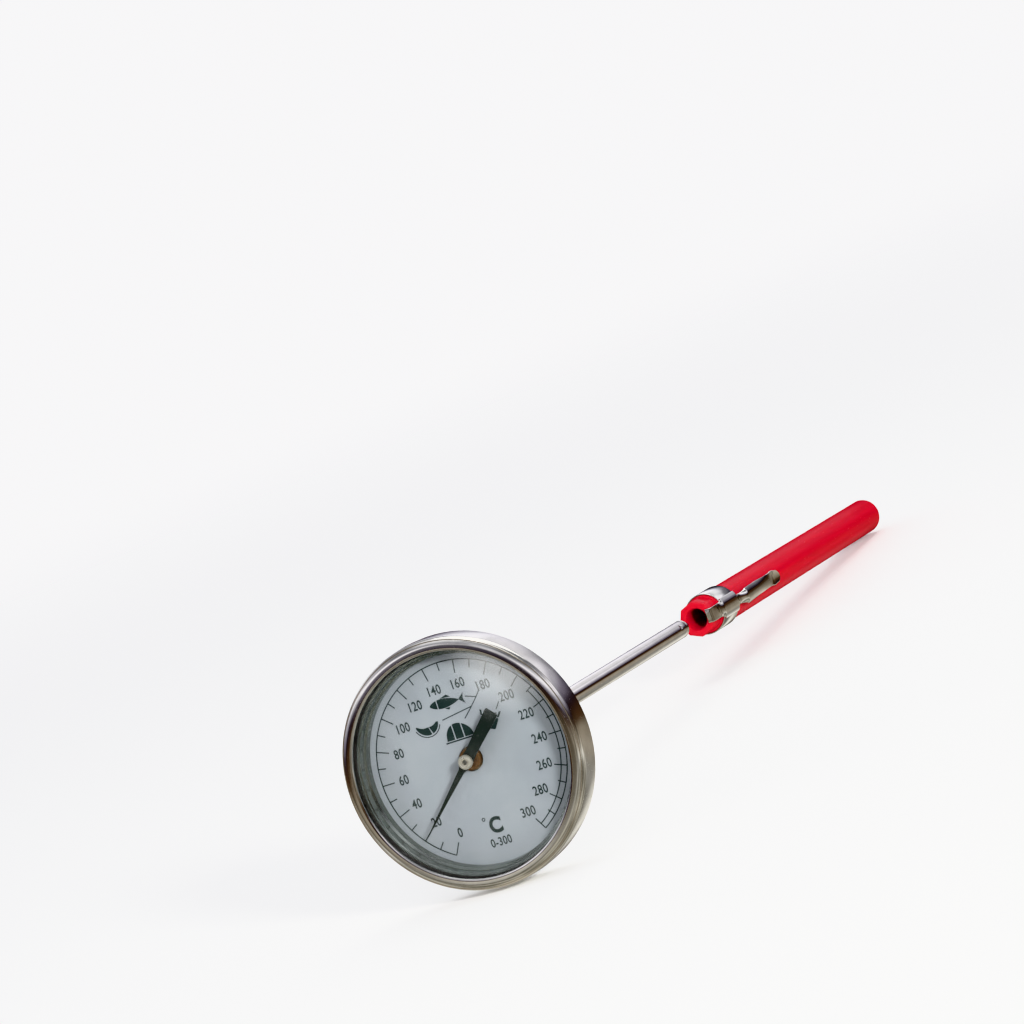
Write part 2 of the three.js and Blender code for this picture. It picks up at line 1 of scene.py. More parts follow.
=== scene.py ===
"""The looks of a pocket dial thermometer and its sheath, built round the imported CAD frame.

Lengths in the shape functions are millimetres in the frame's axes: the stem lies along Y, the dial faces
-Y, and the 150 mark points to +Z. Places come from the boxes of the CAD nodes.
"""

import math
import random

import bmesh
import bpy
from mathutils import Matrix, Vector

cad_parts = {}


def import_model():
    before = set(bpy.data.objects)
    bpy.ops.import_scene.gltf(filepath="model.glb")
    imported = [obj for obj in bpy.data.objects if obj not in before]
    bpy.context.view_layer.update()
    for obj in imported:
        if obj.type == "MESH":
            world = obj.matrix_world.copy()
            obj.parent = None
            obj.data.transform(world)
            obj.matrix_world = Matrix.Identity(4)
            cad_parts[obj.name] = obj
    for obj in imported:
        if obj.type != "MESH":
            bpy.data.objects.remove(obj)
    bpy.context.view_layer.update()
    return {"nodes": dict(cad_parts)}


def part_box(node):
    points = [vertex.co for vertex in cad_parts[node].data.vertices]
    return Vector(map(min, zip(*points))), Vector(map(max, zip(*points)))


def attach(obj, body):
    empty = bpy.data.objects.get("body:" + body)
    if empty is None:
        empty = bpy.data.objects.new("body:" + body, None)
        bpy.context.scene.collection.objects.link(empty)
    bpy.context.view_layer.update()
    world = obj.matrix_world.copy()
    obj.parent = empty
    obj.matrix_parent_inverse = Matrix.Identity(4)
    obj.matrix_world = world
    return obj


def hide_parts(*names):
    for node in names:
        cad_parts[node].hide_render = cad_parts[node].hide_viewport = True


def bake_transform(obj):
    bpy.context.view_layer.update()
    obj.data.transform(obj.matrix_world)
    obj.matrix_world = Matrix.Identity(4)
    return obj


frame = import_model()

MM = 0.001
SAME_PLACE = 1e-7  # metres
NEARLY_STRAIGHT = math.radians(88)  # half of a corner's angle, from which it isn't rounded
HEAD_SEGMENTS = 256
STEM_SEGMENTS = 96


def ends(node):
    """Lowest and highest Y of a CAD node, in millimetres."""
    low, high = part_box(node)
    return low.y / MM, high.y / MM


def radius(node):
    """Largest X of a CAD node, in millimetres."""
    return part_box(node)[1].x / MM


# ---- Sizes read from the frame ----

BEZEL_FRONT, BEZEL_REAR = ends("bezel_ring")
CASE_RADIUS = radius("bezel_ring")
LENS_FRONT, LENS_REAR = ends("lens")
DIAL_FACE, DIAL_BACK = ends("dial_plate")
CUP_RIM, CUP_BACK = ends("case_cup")
NUT_FRONT, NUT_REAR = ends("hex_nut")
NUT_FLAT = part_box("hex_nut")[1].z / MM
STEM_RADIUS = radius("stem_tube")
TUBE_START, TUBE_END = ends("stem_tube")
TIP_END = ends("stem_tip")[1]
HUB_FRONT, HUB_REAR = ends("pointer_hub")
BLADE_FRONT, BLADE_REAR = ends("pointer_blade")
SHEATH_MOUTH, SHEATH_END = ends("sheath_tube")
SHEATH_RADIUS = radius("sheath_tube")
BAND_REAR = ends("clip_band")[1]
ARM_START, ARM_END = ends("clip_arm")
ARM_HIGH = radius("clip_arm")

# ---- Sizes that the boxes don't give ----

BEZEL_OPENING = 22.8
DIAL_OPENING = 21.3
REST_READING = 18
TOP_READING = 150
SCALE_END = 300
SCALE_RADIUS = 20.0
BAND_LENGTH = 10
BAND_START = BAND_REAR - BAND_LENGTH
CLIP_SHEET = 0.4
MOUTH_FLAT = 3.85  # from the sheath's axis to each of the eight flats at its mouth
INK_REAR, INK_FRONT = DIAL_FACE + 0.01, DIAL_FACE - 0.02


# ---- Mesh helpers ----


def new_object(name, data):
    """A new object in the scene, from a mesh, a text, a light or a camera."""
    obj = bpy.data.objects.new(name, data)
    bpy.context.scene.collection.objects.link(obj)
    return obj


def to_object(name, bm):
    mesh = bpy.data.meshes.new(name)
    bm.to_mesh(mesh)
    bm.free()
    return new_object(name, mesh)


def from_bmesh(name, bm):
    """An object with its points in the same place joined, and each closed body's faces turned out."""
    bmesh.ops.remove_doubles(bm, verts=bm.verts, dist=SAME_PLACE)
    bmesh.ops.dissolve_degenerate(bm, edges=bm.edges, dist=SAME_PLACE)
    bmesh.ops.recalc_face_normals(bm, faces=bm.faces)
    return to_object(name, bm)


def from_faces(name, points, faces):
    """An object from points in millimetres and faces of their indices."""
    bm = bmesh.new()
    verts = [bm.verts.new(Vector(p) * MM) for p in points]
    for face in faces:
        bm.faces.new([verts[i] for i in face])
    return from_bmesh(name, bm)


def lofted(name, rings):
    """A closed body through rings with as many points each, capped at its two ends."""
    count = len(rings[0])
    points = [point for ring in rings for point in ring]
    last = len(points) - 1
    faces = [tuple(range(count)), tuple(range(last, last - count, -1))]
    for start in range(0, len(points) - count, count):
        for i in range(count):
            j = (i + 1) % count
            faces.append((start + i, start + j, start + count + j, start + count + i))
    return from_faces(name, points, faces)


def layered(name, layers):
    """A body through flat outlines of (x, z), each at its own y."""
    return lofted(name, [[(x, y, z) for x, z in outline] for outline, y in layers])


def modified(obj, kind, **settings):
    """Applies a modifier with these settings to obj."""
    modifier = obj.modifiers.new("shape", kind)
    for key, value in settings.items():
        setattr(modifier, key, value)
    graph = bpy.context.evaluated_depsgraph_get()
    mesh = bpy.data.meshes.new_from_object(obj.evaluated_get(graph))
    obj.modifiers.clear()
    obj.data = mesh


def smooth(obj, angle=32):
    """Smooth shading, with edges sharper than angle kept sharp."""
    for face in obj.data.polygons:
        face.use_smooth = True
    obj.data.set_sharp_from_angle(angle=math.radians(angle))
    return obj


def joined(name, objects):
    """One object from several."""
    bm = bmesh.new()
    for obj in objects:
        bm.from_mesh(obj.data)
        bpy.data.objects.remove(obj)
    return to_object(name, bm)


def fillet(before, corner, after, size, steps):
    """Points of the arc that rounds a corner of a 2D outline."""
    p = Vector(corner)
    u = Vector(before) - p
    v = Vector(after) - p
    room = 0.49 * min(u.length, v.length)
    u.normalize()
    v.normalize()
    half = math.acos(max(-1.0, min(1.0, u.dot(v)))) / 2
    if size <= 0 or half > NEARLY_STRAIGHT:
        return [corner]
    reach = min(size / math.tan(half), room)
    centre = p + (u + v).normalized() * (reach / math.cos(half))
    start = p + u * reach - centre
    end = p + v * reach - centre
    sweep = math.copysign(math.pi - 2 * half, start.cross(end))
    return [tuple(centre + Matrix.Rotation(sweep * i / steps, 2) @ start) for i in range(steps + 1)]


def rounded(corners, steps=5):
    """A closed 2D outline from corners (a, b) or (a, b, rounding)."""
    outline = []
    count = len(corners)
    for i, corner in enumerate(corners):
        size = corner[2] if len(corner) > 2 else 0
        before = corners[i - 1][:2]
        after = corners[(i + 1) % count][:2]
        outline += fillet(before, corner[:2], after, size, steps)
    return outline


def inset(outline, distance):
    """A closed outline drawn in by a distance, along the bisectors of its corners."""
    following = outline[1:] + outline[:1]
    area = sum(a[0] * b[1] - b[0] * a[1] for a, b in zip(outline, following))
    inwards = math.copysign(1, area)
    moved = []
    for before, point, after in zip(outline[-1:] + outline, outline, following):
        arrive = (Vector(point) - Vector(before)).normalized()
        leave = (Vector(after) - Vector(point)).normalized()
        along = (arrive + leave).normalized()
        side = Vector((-along.y, along.x)) * inwards
        reach = distance / max(along.dot(arrive), 0.5)
        moved.append(tuple(Vector(point) + side * reach))
    return moved


def circle(reach, y, segments):
    """Points about the Y axis at y. reach is their distance from it, as a function of the turn."""
    turns = [2 * math.pi * i / segments for i in range(segments)]
    return [(reach(turn) * math.cos(turn), y, reach(turn) * math.sin(turn)) for turn in turns]


def turned(name, corners, segments=STEM_SEGMENTS, steps=5):
    """Turns a closed profile of (radius, y, rounding) corners about the Y axis."""
    bm = bmesh.new()
    rings = []
    for r, y in rounded(corners, steps):
        places = circle(lambda turn, r=r: r, y, segments if r > 0 else 1)
        rings.append([bm.verts.new(Vector(place) * MM) for place in places])
    for ring, following in zip(rings, rings[1:] + rings[:1]):
        if len(ring) == len(following) == 1:
            continue
        for i in range(segments):
            j = (i + 1) % segments
            here = [ring[i % len(ring)], ring[j % len(ring)]]
            there = [following[j % len(following)], following[i % len(following)]]
            bm.faces.new(list(dict.fromkeys(here + there)))
    return smooth(from_bmesh(name, bm))


def install(obj, body, material, slot, *replaced):
    """Gives a piece its material, its body and the CAD nodes that it stands for."""
    obj.data.materials.clear()
    obj.data.materials.append(material)
    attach(obj, body)
    if replaced:
        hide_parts(*replaced)
    return obj


# ---- Shader helpers ----


class Nodes:
    """A node tree, with short names for the nodes used here."""

    def __init__(self, tree, coordinates):
        self.tree = tree
        self.place = self.node("TexCoord").outputs[coordinates]

    def feed(self, node, inputs):
        """Sets a node's inputs to values, or links them to the sockets given."""
        for key, value in inputs.items():
            if isinstance(value, bpy.types.NodeSocket):
                self.tree.links.new(value, node.inputs[key])
            else:
                node.inputs[key].default_value = value
        return node

    def node(self, kind, inputs=None, **settings):
        made = self.tree.nodes.new("ShaderNode" + kind)
        for key, value in settings.items():
            setattr(made, key, value)
        return self.feed(made, inputs or {})

    def span(self, value, low, high, to_low=0.0, to_high=1.0, ease="LINEAR"):
        """A value's place between low and high, as a number from to_low to to_high."""
        limits = {"From Min": low, "From Max": high, "To Min": to_low, "To Max": to_high}
        made = self.node("MapRange", {"Value": value, **limits}, clamp=True, interpolation_type=ease)
        return made.outputs["Result"]

    def math(self, operation, a, b=0.0):
        return self.node("Math", {0: a, 1: b}, operation=operation).outputs["Value"]

    def show(self, output, share, a, b):
        """Shows surface a, giving way to surface b by a share."""
        both = self.node("MixShader", {0: share, 1: a.outputs[0], 2: b.outputs[0]})
        self.feed(self.tree.nodes[output], {"Surface": both.outputs[0]})


class Shader(Nodes):
    """A material with a principled surface, in object coordinates."""

    def __init__(self, name, colour, roughness, metallic=0.0):
        self.material = bpy.data.materials.new(name)
        self.material.use_nodes = True
        super().__init__(self.material.node_tree, "Object")
        self.surface = self.tree.nodes["Principled BSDF"]
        self.set(base_color=(*colour, 1), roughness=roughness, metallic=metallic)

    def set(self, **inputs):
        """Sets inputs of the principled surface, such as base_color for Base Color."""
        named = {key.replace("_", " ").title().replace("Ior", "IOR"): inputs[key] for key in inputs}
        self.feed(self.surface, named)

    def noise(self, scale, detail=3.0, rough=0.5, turn=(0, 0, 0)):
        """Noise with one feature per 1 / scale millimetres; scale is a number or one per axis."""
        if not isinstance(scale, tuple):
            scale = (scale,) * 3
        stretch = {"Scale": [s / MM for s in scale], "Rotation": turn}
        place = self.node("Mapping", {"Vector": self.place, **stretch}).outputs["Vector"]
        inputs = {"Vector": place, "Scale": 1.0, "Detail": detail, "Roughness": rough}
        return self.node("TexNoise", inputs).outputs["Fac"]

    def mix(self, share, a, b):
        colours = [(*c, 1) if isinstance(c, tuple) else c for c in (a, b)]
        return self.node("Mix", {0: share, 6: colours[0], 7: colours[1]}, data_type="RGBA").outputs[2]

    def ring_lines(self, per_mm):
        """Noise that changes only with the distance from the Y axis: a lathe's turning lines."""
        flat = self.node("VectorMath", {0: self.place, 1: (1 / MM, 0, 1 / MM)}, operation="MULTIPLY")
        far = self.node("VectorMath", {0: flat.outputs[0]}, operation="LENGTH").outputs["Value"]
        lines = self.node("TexNoise", noise_dimensions="1D")
        return self.feed(lines, {"W": far, "Scale": per_mm, "Detail": 4.0}).outputs["Fac"]

    def scratches(self, turns, density=0.5):
        """Thin straight scratches in several directions, where a patchy mask lets them show."""
        total = 0.0
        for i, turn in enumerate(turns):
            streak = self.noise((7.0, 0.22, 7.0), 2.0, 0.6, turn)
            thin = self.span(streak, 0.68 - 0.05 * density, 0.72)
            mask = self.span(self.noise(0.5 + 0.13 * i, 1.0), 0.45, 0.6)
            total = self.math("MAXIMUM", total, self.math("MULTIPLY", thin, mask))
        return total

    def bump(self, height, depth, strength=1.0, under=None):
        """A bump of depth millimetres, added over an earlier one."""
        inputs = {"Height": height, "Distance": depth * MM, "Strength": strength}
        if under is not None:
            inputs["Normal"] = under
        return self.node("Bump", inputs).outputs["Normal"]


def polished_metal(name, colour, low_rough, high_rough, lines, line_depth=0.0006, metallic=1.0, cloud=0.1):
    """Polished metal: direction lines, smudges that dull it a little, and fine scratches."""
    s = Shader(name, colour, low_rough, metallic)
    smudge = s.noise(0.16, 4.0, 0.6)
    marks = s.scratches([(0.3, 0.2, 0.9), (1.1, 0.5, -0.4), (0.2, 1.3, 0.5)])
    rough = s.span(smudge, 0.35, 0.7, low_rough, high_rough)
    rough = s.math("ADD", rough, s.math("MULTIPLY", marks, 0.14))
    dark = tuple((1 - cloud) * c for c in colour)
    tint = s.mix(s.span(s.noise(0.3, 3.0), 0.35, 0.65), colour, dark)
    pits = s.span(s.noise(2.6, 2.0), 0.3, 0.7)
    normal = s.bump(lines(s), line_depth)
    normal = s.bump(pits, 0.0005, 0.5, normal)
    normal = s.bump(marks, -0.0015, 0.6, normal)
    s.set(base_color=tint, roughness=rough, normal=normal)
    return s.material


def lathe_lines(per_mm):
    return lambda s: s.ring_lines(per_mm)


def grain(scale, detail):
    return lambda s: s.noise(scale, detail)


def bezel_steel():
    return polished_metal("bezel_steel", (0.72, 0.70, 0.655), 0.10, 0.19, lathe_lines(9.0))


def case_steel():
    return polished_metal(
        "case_steel", (0.56, 0.605, 0.62), 0.07, 0.12, lathe_lines(6.0), 0.0003, cloud=0.03
    )


def wall_metal():
    """The bright ring inside the head, with turning marks along its depth."""
    marks = grain((0.2, 12.0, 0.2), 3.0)
    return polished_metal("wall_metal", (0.27, 0.29, 0.265), 0.12, 0.22, marks, 0.0016, 0.92)


def stem_steel():
    along = grain((9.0, 0.12, 9.0), 3.0)
    return polished_metal("stem_steel", (0.74, 0.715, 0.67), 0.09, 0.17, along, 0.0012)


def nickel():
    return polished_metal("nickel", (0.76, 0.72, 0.63), 0.16, 0.28, grain(5.0, 3.0), 0.0025)


def hub_nickel():
    return polished_metal(
        "hub_nickel", (0.50, 0.465, 0.385), 0.25, 0.38, lathe_lines(12.0), 0.003, 0.6
    )


def clip_chrome():
    along = grain((3.0, 0.5, 3.0), 2.0)
    return polished_metal("clip_chrome", (0.78, 0.77, 0.72), 0.06, 0.14, along, 0.0015)


def spring_steel():
    return polished_metal("spring_steel", (0.42, 0.43, 0.44), 0.28, 0.42, grain(6.0, 4.0), 0.003)


def brass():
    """Dull brass, browner in patches."""
    s = Shader("brass", (0.50, 0.27, 0.10), 0.35, 0.7)
    age = s.span(s.noise(1.6, 4.0, 0.6), 0.35, 0.65)
    tint = s.mix(age, (0.29, 0.17, 0.087), (0.165, 0.092, 0.052))
    rough = s.span(age, 0.0, 1.0, 0.26, 0.5)
    normal = s.bump(s.ring_lines(14.0), 0.004)
    s.set(base_color=tint, roughness=rough, normal=normal)
    return s.material


def bimetal():
    """Rolled strip with heat colours along its length."""
    s = Shader("bimetal", (0.45, 0.38, 0.28), 0.35, 1.0)
    heat = s.span(s.noise((0.4, 0.1, 0.4), 2.0), 0.3, 0.7)
    tint = s.mix(heat, (0.50, 0.42, 0.30), (0.34, 0.28, 0.27))
    s.set(base_color=tint, normal=s.bump(s.noise((4.0, 9.0, 4.0)), 0.003))
    return s.material


def dial_lacquer():
    """Pale blue-grey lacquer over a metal plate: fine grain, faint clouding and dust specks."""
    s = Shader("dial_lacquer", (0.50, 0.54, 0.60), 0.5)
    cloud = s.span(s.noise(0.09, 3.0), 0.35, 0.65)
    tint = s.mix(cloud, (0.262, 0.278, 0.292), (0.241, 0.257, 0.273))
    fine = s.noise(7.0, 2.0, 0.7)
    tint = s.mix(s.span(fine, 0.55, 0.75, 0.0, 0.25), tint, (0.20, 0.214, 0.232))
    specks = s.span(s.noise(3.3, 1.0), 0.735, 0.76, 0.0, 0.6)
    tint = s.mix(specks, tint, (0.22, 0.23, 0.24))
    rough = s.span(fine, 0.3, 0.7, 0.42, 0.58)
    normal = s.bump(fine, 0.006, 0.6)
    s.set(base_color=tint, roughness=rough, normal=normal)
    return s.material


def ink():
    """Screen-printed ink: near black with a green cast, thinner in places."""
    s = Shader("ink", (0.02, 0.03, 0.028), 0.5)
    worn = s.span(s.noise(4.5, 4.0, 0.7), 0.56, 0.72, 0.0, 0.55)
    tint = s.mix(worn, (0.018, 0.028, 0.026), (0.10, 0.12, 0.125))
    s.set(base_color=tint, roughness=s.span(s.noise(5.0), 0.3, 0.7, 0.4, 0.6))
    s.set(normal=s.bump(s.noise(9.0), 0.004))
    return s.material


def pointer_paint():
    """Satin black paint with fine orange peel and a few dust specks."""
    s = Shader("pointer_paint", (0.018, 0.021, 0.020), 0.4)
    dust = s.span(s.noise(4.0, 1.0), 0.70, 0.74, 0.0, 0.35)
    tint = s.mix(dust, (0.016, 0.020, 0.018), (0.25, 0.25, 0.24))
    rough = s.span(s.noise(1.5), 0.3, 0.7, 0.3, 0.46)
    s.set(base_color=tint, roughness=rough, normal=s.bump(s.noise(5.0), 0.004, 0.7))
    s.set(specular_ior_level=0.3)
    return s.material


def rubber():
    s = Shader("rubber", (0.018, 0.018, 0.018), 0.8)
    tint = s.mix(s.noise(1.2, 4.0), (0.012, 0.012, 0.012), (0.035, 0.034, 0.032))
    s.set(base_color=tint, normal=s.bump(s.noise(8.0), 0.01))
    return s.material


def white_plastic():
    s = Shader("white_plastic", (0.80, 0.79, 0.75), 0.5)
    tint = s.mix(s.noise(1.0, 3.0), (0.82, 0.81, 0.77), (0.74, 0.72, 0.66))
    s.set(base_color=tint, subsurface_weight=0.15, subsurface_scale=0.5 * MM)
    s.set(normal=s.bump(s.ring_lines(10.0), 0.004))
    return s.material


def red_plastic():
    """Glossy moulded red plastic: flow streaks along it, faint sink waves and fine scratches."""
    s = Shader("red_plastic", (0.46, 0.01, 0.018), 0.2)
    flow = s.span(s.noise((0.9, 0.04, 0.9), 4.0, 0.6), 0.3, 0.7)
    tint = s.mix(flow, (0.44, 0.010, 0.021), (0.38, 0.008, 0.017))
    marks = s.scratches([(0.1, 0.1, 0.05), (0.2, 0.4, 0.5), (0.1, 0.9, -0.3)], 0.6)
    tint = s.mix(s.math("MULTIPLY", marks, 0.1), tint, (0.60, 0.06, 0.08))
    rough = s.span(s.noise(0.25, 4.0, 0.6), 0.3, 0.7, 0.12, 0.2)
    rough = s.math("ADD", rough, s.math("MULTIPLY", marks, 0.15))
    normal = s.bump(s.noise((0.3, 0.05, 0.3), 2.0), 0.012, 0.5)
    normal = s.bump(s.noise(5.0, 2.0), 0.001, 0.5, normal)
    normal = s.bump(marks, -0.002, 0.5, normal)
    s.set(base_color=tint, roughness=rough, normal=normal, subsurface_weight=0.08)
    s.set(subsurface_radius=(1.0, 0.2, 0.1), subsurface_scale=0.6 * MM)
    s.set(specular_ior_level=0.0)
    gloss = s.node("BsdfGlossy", {"Roughness": rough, "Normal": normal})
    worn = s.math("MINIMUM", s.node("Fresnel").outputs[0], 0.085)  # a gloss that stays weak at flat angles
    s.show("Material Output", worn, s.surface, gloss)
    return s.material


def window_glass():
    """A clear window: light passes straight through it, its faces mirror the room, a faint greasy smear
    lies on it in patches, and a painted glare, a whitish patch that fades out from one spot near its rim,
    stands in for a lamp's glare on the glass."""
    s = Shader("window_glass", (1, 1, 1), 0.0)
    clear = s.node("BsdfTransparent", {"Color": (0.965, 0.975, 0.975, 1)})
    smear = s.span(s.noise(0.07, 4.0, 0.65), 0.45, 0.75)
    gloss = s.node("BsdfGlossy", {"Roughness": s.span(smear, 0.0, 1.0, 0.015, 0.09)})
    fresnel = s.node("Fresnel", {"IOR": 1.5}).outputs[0]
    outside = s.math("SUBTRACT", 1.0, s.node("NewGeometry").outputs["Backfacing"])
    mirrored = s.math("MULTIPLY", fresnel, outside)
    face = s.node("MixShader", {0: mirrored, 1: clear.outputs[0], 2: gloss.outputs[0]})
    # whitish diffuse layer: the greasy smear, plus the painted glare of a lamp on the glass
    smear_and_glare = s.node("BsdfDiffuse", {"Color": (0.86, 0.86, 0.84, 1)})
    # corner is the middle of the painted glare: a whitish patch round this spot near the rim, standing in
    # for a lamp's glare
    corner = (15 * MM, LENS_FRONT * MM, 17 * MM)
    away = s.node("VectorMath", {0: s.place, 1: corner}, operation="DISTANCE").outputs["Value"]
    painted_glare = s.span(away, 2 * MM, 13 * MM, 0.1, 0.0, "SMOOTHSTEP")
    # thick is the share of the whitish layer: the greasy smear plus the painted glare
    thick = s.math("ADD", s.span(smear, 0.0, 1.0, 0.0, 0.016), painted_glare)
    s.show("Material Output", thick, face, smear_and_glare)
    s.tree.nodes.remove(s.surface)
    return s.material


# ---- The head ----


def bezel_ring():
    """Flat flange, rounded shoulder, barrelled side band and a lip rolled over the case's back."""
    corners = [
        (BEZEL_OPENING, LENS_FRONT, 0.05),
        (BEZEL_OPENING, BEZEL_FRONT + 0.12, 0.22),
        (BEZEL_OPENING + 0.45, BEZEL_FRONT, 0.5),
        (CASE_RADIUS - 1.1, BEZEL_FRONT + 0.16, 1.6),
        (CASE_RADIUS - 0.08, BEZEL_FRONT + 1.25, 1.2),
        (CASE_RADIUS, (BEZEL_FRONT + BEZEL_REAR) / 2, 6.0),
        (CASE_RADIUS - 0.12, BEZEL_REAR - 1.0, 0.9),
        (CASE_RADIUS - 0.75, BEZEL_REAR - 0.05, 0.8),
        (CASE_RADIUS - 1.45, BEZEL_REAR, 0.15),
        (CASE_RADIUS - 1.5, CUP_BACK + 0.05, 0.04),
        (CASE_RADIUS - 0.85, CUP_BACK + 0.05),
        (CASE_RADIUS - 0.5, CUP_BACK - 0.4),
        (CASE_RADIUS - 0.5, LENS_FRONT),
    ]
    return turned("bezel_ring_rolled", corners, HEAD_SEGMENTS, 8)


def case_cup():
    """A drawn cup with a flat back plate, slightly set back under the bezel's lip."""
    outer = radius("case_cup")
    inner = outer - 0.7
    floor = CUP_BACK - 0.6
    hole = 2.9
    corners = [
        (hole, floor, 0.1),
        (hole, CUP_BACK, 0.12),
        (outer - 1.6, CUP_BACK, 0.3),
        (outer - 1.2, CUP_BACK - 0.1, 0.3),
        (outer, CUP_BACK - 0.12, 0.6),
        (outer, CUP_RIM, 0.1),
        (inner, CUP_RIM, 0.1),
        (inner, floor, 0.6),
    ]
    return turned("case_cup_drawn", corners, HEAD_SEGMENTS)


def lens():
    r = radius("lens")
    section = [(0, LENS_FRONT), (r, LENS_FRONT, 0.1), (r, LENS_REAR, 0.1), (0, LENS_REAR)]
    return turned("lens_window", section, HEAD_SEGMENTS, 3)


def spacer_ring():
    """The bright inner wall: a plain band at the dial, a step, and a flared band up to the lens."""
    outer = radius("spacer_ring")
    front = ends("spacer_ring")[0]
    step = DIAL_FACE - 1.7
    corners = [
        (outer, DIAL_FACE, 0.05),
        (DIAL_OPENING + 0.12, DIAL_FACE),
        (DIAL_OPENING, DIAL_FACE - 0.12, 0.05),
        (DIAL_OPENING + 0.15, step, 0.2),
        (DIAL_OPENING + 0.65, step - 0.3, 0.2),
        (DIAL_OPENING + 0.85, front + 0.5, 0.15),
        (BEZEL_OPENING - 0.35, front + 0.35, 0.1),
        (BEZEL_OPENING - 0.3, front, 0.1),
        (outer, front, 0.05),
    ]
    return turned("spacer_ring_turned", corners, HEAD_SEGMENTS)


def dial_plate():
    hole, outer = radius("bearing_bush") + 0.25, radius("dial_plate")
    places = [(hole, DIAL_FACE), (outer, DIAL_FACE), (outer, DIAL_BACK), (hole, DIAL_BACK)]
    return turned("dial_plate_lacquered", [(*place, 0.06) for place in places], HEAD_SEGMENTS, 3)


# ---- The printing on the dial ----


def scale_angle(reading):
    """Angle of a reading, in radians clockwise from the dial's top."""
    return math.radians(reading - TOP_READING)


def polar(distance, angle):
    return distance * math.sin(angle), distance * math.cos(angle)


def printed(name, outline, to_frame=None):
    """A patch of ink on the dial's face. to_frame maps each (x, z) of its outline."""
    if to_frame:
        outline = [to_frame(*point) for point in outline]
    return layered(name, [(outline, INK_REAR), (outline, INK_FRONT)])


def printed_line(points, width):
    """A stroke of ink along a polyline in X and Z."""
    left, right = [], []
    for before, point, after in zip(points[:1] + points, points, points[1:] + points[-1:]):
        along = (Vector(after) - Vector(before)).normalized()
        side = Vector((-along.y, along.x)) * width / 2
        left.append(tuple(Vector(point) + side))
        right.append(tuple(Vector(point) - side))
    return printed("stroke", left + right[::-1])


def printed_arc(distance, start, end, width):
    """A stroke of ink along the scale from one reading to another."""
    steps = int(abs(end - start) / 2)
    readings = [start + (end - start) * i / steps for i in range(steps + 1)]
    return printed_line([polar(distance, scale_angle(t)) for t in readings], width)


def scale_marks():
    """The scale's arc, its ticks, and the second arc that marks the upper range."""
    line = 0.24
    inner_arc = SCALE_RADIUS - 1.25
    upper_range = 210
    marks = [
        printed_arc(SCALE_RADIUS, 0, SCALE_END, line),
        printed_arc(inner_arc, upper_range, SCALE_END, line),
    ]
    for reading in range(0, SCALE_END + 1, 10):
        length = 2.7 if reading % 20 == 0 else 1.7
        angle = scale_angle(reading)
        inner = polar(SCALE_RADIUS - length, angle)
        outer = polar(SCALE_RADIUS, angle)
        marks.append(printed_line([inner, outer], line))
    return joined("dial_scale_marks", marks)


def lettering(text, height, centre, narrow, bold):
    """Printed figures, upright on the dial, with their middle at centre."""
    digit_height = 0.7  # of a text object of size 1
    curve = bpy.data.curves.new("figures", "FONT")
    curve.body = text
    curve.size = height / digit_height
    curve.offset = bold
    curve.space_character = 1.06
    curve.align_x = "CENTER"
    curve.resolution_u = 6
    curve.extrude = 0.5
    text_object = new_object("figures", curve)
    graph = bpy.context.evaluated_depsgraph_get()
    bm = bmesh.new()
    bm.from_mesh(bpy.data.meshes.new_from_object(text_object.evaluated_get(graph)))
    bpy.data.objects.remove(text_object)
    for vertex in bm.verts:
        x, up, out = vertex.co
        y = INK_REAR if out < 0 else INK_FRONT
        vertex.co = Vector((centre[0] + narrow * x, y, centre[1] + up - height / 2)) * MM
    return from_bmesh("figures", bm)


def numerals():
    figures = []
    for reading in range(0, SCALE_END + 1, 20):
        centre = polar(15.25, scale_angle(reading))
        figures.append(lettering(str(reading), 1.85, centre, 0.78, 0.045))
    return joined("dial_numerals", figures)


def unit_mark():
    """The unit, with the scale's range below it in small figures."""
    section = [(0.2, INK_REAR), (0.4, INK_REAR), (0.4, INK_FRONT), (0.2, INK_FRONT)]
    degree = turned("degree", section, 24)
    degree.data.transform(Matrix.Translation(Vector((-1.95, 0, -12.2)) * MM))
    letter = lettering("C", 3.0, (0.15, -13.8), 0.92, 0.17)
    span = lettering(f"0-{SCALE_END}", 1.65, (0.1, -17.2), 0.8, 0.035)
    return joined("dial_unit", [degree, letter, span])


def turned_by(centre, degrees):
    """A map that turns (x, z) about a centre, anticlockwise as the dial is read."""
    middle = Vector(centre)
    turn = Matrix.Rotation(math.radians(degrees), 2)
    return lambda x, z: tuple(middle + turn @ (Vector((x, z)) - middle))


def fish_mark():
    """A plain fish: a lens-shaped body cut by a gill line, fins above and below, and a tail."""
    cx, cz = -1.0, 12.0
    body_from, body_to = -3.6, 2.9

    def edge(t, side):
        x = body_from + (body_to - body_from) * t
        return cx + x, cz + side * 0.98 * math.sin(math.pi * t**0.8) ** 0.8

    gill = 0.24
    gap = 0.03
    steps = 10
    head_t = [gill * i / steps for i in range(steps + 1)]
    rest_t = [gill + gap + (1 - gill - gap) * i / (2 * steps) for i in range(2 * steps)]
    head = [edge(t, 1) for t in head_t] + [edge(t, -1) for t in head_t[:0:-1]]
    rest = [edge(t, 1) for t in rest_t] + [(cx + body_to, cz)] + [edge(t, -1) for t in rest_t[::-1]]
    tail = [(cx + 2.75, cz), (cx + 4.1, cz + 1.15), (cx + 3.75, cz), (cx + 4.1, cz - 1.15)]
    back_fin = [(cx - 1.1, cz + 1.05), (cx + 0.5, cz + 1.55), (cx + 1.3, cz + 0.95)]
    low_fin = [(cx - 0.6, cz - 1.05), (cx + 0.3, cz - 1.5), (cx + 0.7, cz - 1.0)]
    turn = turned_by((cx, cz), -2)
    return [printed("fish", part, turn) for part in (head, rest, tail, back_fin, low_fin)]


